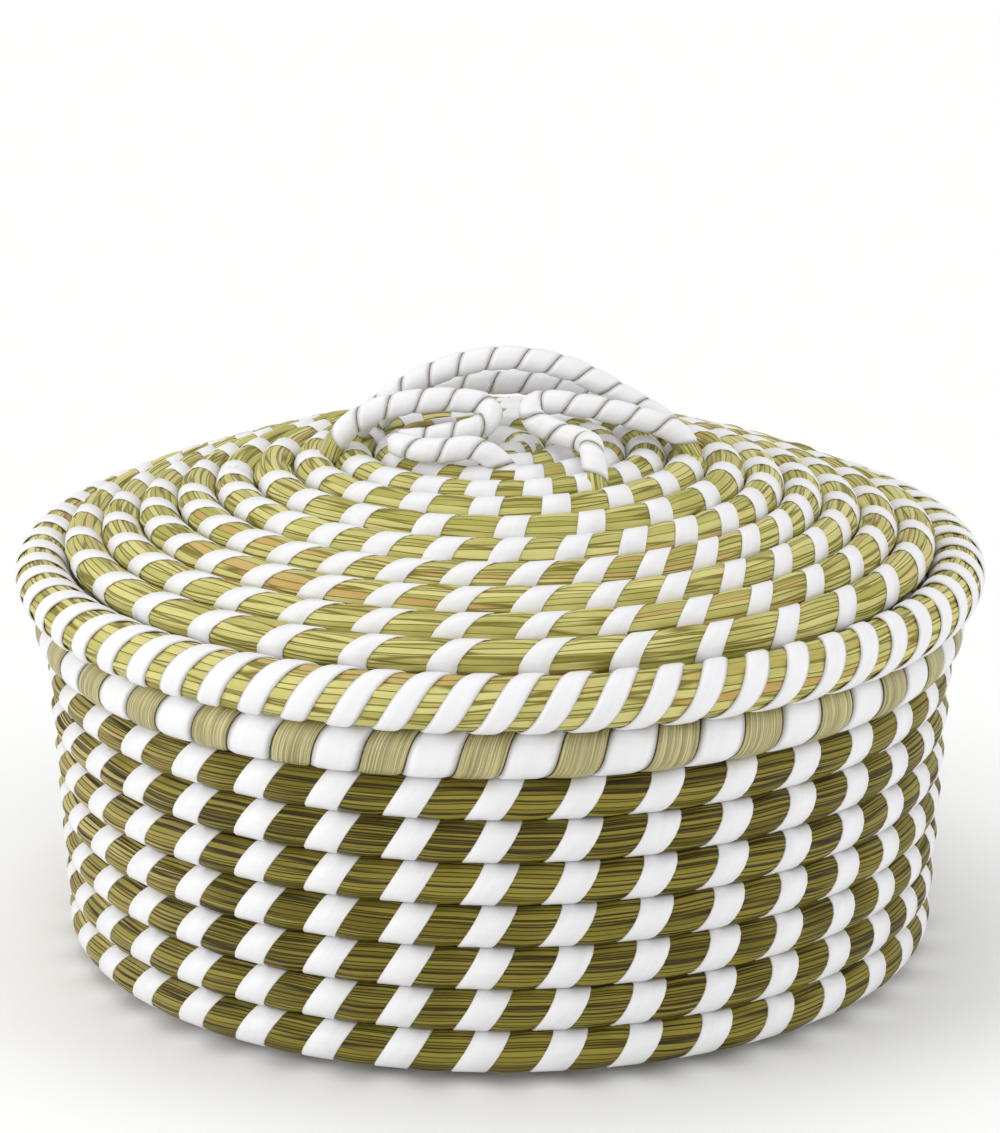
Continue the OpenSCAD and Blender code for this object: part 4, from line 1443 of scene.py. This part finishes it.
def smooth_path(stations):
    """400 even points of a smooth path through the stations, each span a cubic of four."""
    n = 400
    p = np.vstack([stations[0], stations, stations[-1]])
    s = np.linspace(0, len(stations) - 1 - 1e-9, n * 3)
    i = s.astype(int)
    t = (s - i)[:, None]
    a, b, c, d = p[i], p[i + 1], p[i + 2], p[i + 3]
    square, cube = 2 * a - 5 * b + 4 * c - d, 3 * b - a - 3 * c + d
    line = 0.5 * (2 * b + (c - a) * t + square * t**2 + cube * t**3)
    run = run_along(line)
    even = np.linspace(0, run[-1], n)
    return read_at(even, run, line), even


def carried_frame(line):
    """Two ways square to a path, carried along it without twist."""
    ahead = np.gradient(line, axis=0)
    ahead /= np.linalg.norm(ahead, axis=1, keepdims=True)
    side = np.empty_like(line)
    now = np.cross(ahead[0], [0.2, 1.0, 0.1])
    for k, way in enumerate(ahead):
        now = now - way * (now @ way)
        now = now / np.linalg.norm(now)
        side[k] = now
    return side, np.cross(side, ahead)


def cord_core(name, line, run, side, up):
    """The grass inside a cord: a round bundle with domed ends and faint ridges."""
    cols = 20
    a = ring_of(cols)
    near_end = np.clip(np.minimum(run, run[-1] - run) / CORD_CAP, 0, 1)
    cap = np.sqrt(np.clip(1 - (1 - near_end) ** 2, 0.02, 1))
    tube = CORD_GRASS * cap[:, None] + 0.00012 * np.sin(5 * a + run[:, None] * 300)
    points = line[:, None] + tube[..., None] * (
        np.cos(a)[None, :, None] * side[:, None] + np.sin(a)[None, :, None] * up[:, None]
    )
    return surface(name, points, lid_grass_material(), run, np.linspace(0, 1, cols + 1),
                   close_cols=True, ends=True)


def cord_wrap(name, line, run, side, up):
    """A strip wound as a screw round a cord, 22 points and one pitch for each time round."""
    turns, steps = (run[-1] - CORD_STRIP) / CORD_PITCH, 22
    n = int(turns * steps)
    t = np.linspace(0, turns, n)
    s = np.linspace(-1, 1, 6)
    along, height, v = wrap_profile(s, CORD_STRIP, CORD_THICKNESS * (1 - np.abs(s) ** 6))
    place = CORD_STRIP / 2 + CORD_PITCH * t[:, None] + along[None]
    angle = (2 * math.pi * t)[:, None, None]
    out = np.cos(angle) * read_at(place, run, side) + np.sin(angle) * read_at(place, run, up)
    reach = CORD_RADIUS - CORD_THICKNESS + height[None]
    points = read_at(place, run, line) + reach[..., None] * out
    u = np.linspace(0, turns * 2 * math.pi * CORD_RADIUS, n)
    return surface(name, points[:, ::-1], white_material(), u, v, close_cols=True, ends=True)


class BASKET_OT_handle(bpy.types.Operator):
    """Builds the handle: cords wound in white strip, bent into an open bow"""

    bl_idname = "basket.handle"
    bl_label = "Handle"

    def execute(self, context):
        top = lid_rings()[0][1] + sizes()[1].tube
        for name, stations in CORDS.items():
            line, run = smooth_path(sunk_ends(name, stations) * 0.001 + np.array([0, 0, top]))
            side, up = carried_frame(line)
            core = cord_core(f"handle_{name}_core", line, run, side, up)
            wrap = cord_wrap(f"handle_{name}_wrap", line, run, side, up)
            placed(core, "lid", "light_grass")
            placed(wrap, "lid", "white_strip", f"handle_{name}")
        return {"FINISHED"}


# The camera: its place and downward tilt, the photograph's height and the focal length, both in
# pixels, and the height of the film in millimetres.
CAMERA_PLACE = (0.0, -1.4168, 0.5385)
CAMERA_TILT = 0.2902
PICTURE_HEIGHT, FOCAL_LENGTH, FILM = 1133, 4907.9, 36

# The lamps, round and aimed at one point: name, place, size, power and colour.
LAMP_AIM = (0, 0, 0.1)
LAMPS = (
    ("key", (-1.6, -0.6, 0.62), 1.1, 12.5, (1.0, 0.995, 0.98)),
    ("front", (0.2, -1.95, 0.95), 1.1, 7.0, (1.0, 1.0, 1.0)),
    ("side", (1.6, -0.3, 0.62), 1.2, 7.0, (0.98, 0.985, 1.0)),
    ("top", (-0.2, 0.3, 2.0), 1.5, 10.0, (1.0, 1.0, 1.0)),
)
SOFT_LIGHT = 0.62

# The floor's corners, and the distances between which it turns white.
FLOOR_CORNERS = [[(-6, -4, 0), (6, -4, 0)], [(-6, 8, 0), (6, 8, 0)]]
FLOOR_FADE = (0.15, 0.30)


class BASKET_OT_stage(bpy.types.Operator):
    """Builds the pale floor, the soft lights and the camera"""

    bl_idname = "basket.stage"
    bl_label = "Stage"

    def execute(self, context):
        scene = context.scene
        floor = surface("floor", np.array(FLOOR_CORNERS, float), floor_material())
        camera = bpy.data.objects.new("camera", bpy.data.cameras.new("camera"))
        camera.location = CAMERA_PLACE
        camera.rotation_euler = (math.radians(90) - CAMERA_TILT, 0, 0)
        camera.data.lens = FOCAL_LENGTH / PICTURE_HEIGHT * FILM
        scene.collection.objects.link(camera)
        scene.camera = camera
        for name, place, size, power, tint in LAMPS:
            lamp = bpy.data.lights.new(name, "AREA")
            lamp.shape, lamp.size, lamp.energy, lamp.color = "DISK", size, power, tint
            holder = bpy.data.objects.new(name, lamp)
            holder.location = place
            way = np.array(LAMP_AIM) - np.array(place)
            holder.rotation_euler = Vector(way).to_track_quat("-Z", "Y").to_euler()
            scene.collection.objects.link(holder)
        world = bpy.data.worlds.new("studio")
        world.use_nodes = True
        scene.world = world
        world.node_tree.nodes.clear()
        w = Wires(world.node_tree)
        out = w.node("ShaderNodeOutputWorld")
        soft = w.feed(w.node("ShaderNodeBackground"), (1.0, 1.0, 1.0, 1.0), SOFT_LIGHT)
        seen = w.feed(w.node("ShaderNodeBackground"), rgba(colours().backdrop), 1.0)
        w.put(w.feed(w.node("ShaderNodeMixShader"), seen_rays(w), soft, seen), out.inputs[0])
        scene.view_settings.view_transform = "Standard"
        return {"FINISHED"}


OPERATORS = (
    BASKET_OT_base,
    BASKET_OT_wall,
    BASKET_OT_rim,
    BASKET_OT_liner,
    BASKET_OT_pad,
    BASKET_OT_lid,
    BASKET_OT_lid_rim,
    BASKET_OT_flange,
    BASKET_OT_handle,
    BASKET_OT_stage,
)


class BASKET_PT_panel(bpy.types.Panel):
    """Lists the basket's pieces"""

    bl_idname = "BASKET_PT_panel"
    bl_label = "Coiled grass basket"
    bl_space_type = "VIEW_3D"
    bl_region_type = "UI"
    bl_category = "Basket"

    def draw(self, context):
        for operator in OPERATORS:
            self.layout.operator(operator.bl_idname)


GROUPS = (
    ("basket_sizes", BasketSizes),
    ("lid_sizes", LidSizes),
    ("binding_sizes", BindingSizes),
    ("cloth_sizes", ClothSizes),
    ("basket_colours", BasketColours),
)


def register():
    """Registers the sizes, operators and panel."""
    for title, kind in GROUPS:
        bpy.utils.register_class(kind)
        setattr(bpy.types.Scene, title, bpy.props.PointerProperty(type=kind))
    for kind in (*OPERATORS, BASKET_PT_panel):
        bpy.utils.register_class(kind)


def unregister():
    """Takes the panel, operators and sizes away again."""
    for kind in (BASKET_PT_panel, *OPERATORS[::-1]):
        bpy.utils.unregister_class(kind)
    for title, kind in GROUPS[::-1]:
        delattr(bpy.types.Scene, title)
        bpy.utils.unregister_class(kind)


def main():
    """Builds every piece in order."""
    register()
    bpy.ops.basket.base()
    bpy.ops.basket.wall()
    bpy.ops.basket.rim()
    bpy.ops.basket.liner()
    bpy.ops.basket.pad()
    bpy.ops.basket.lid()
    bpy.ops.basket.lid_rim()
    bpy.ops.basket.flange()
    bpy.ops.basket.handle()
    bpy.ops.basket.stage()


if __name__ == "__main__":
    main()
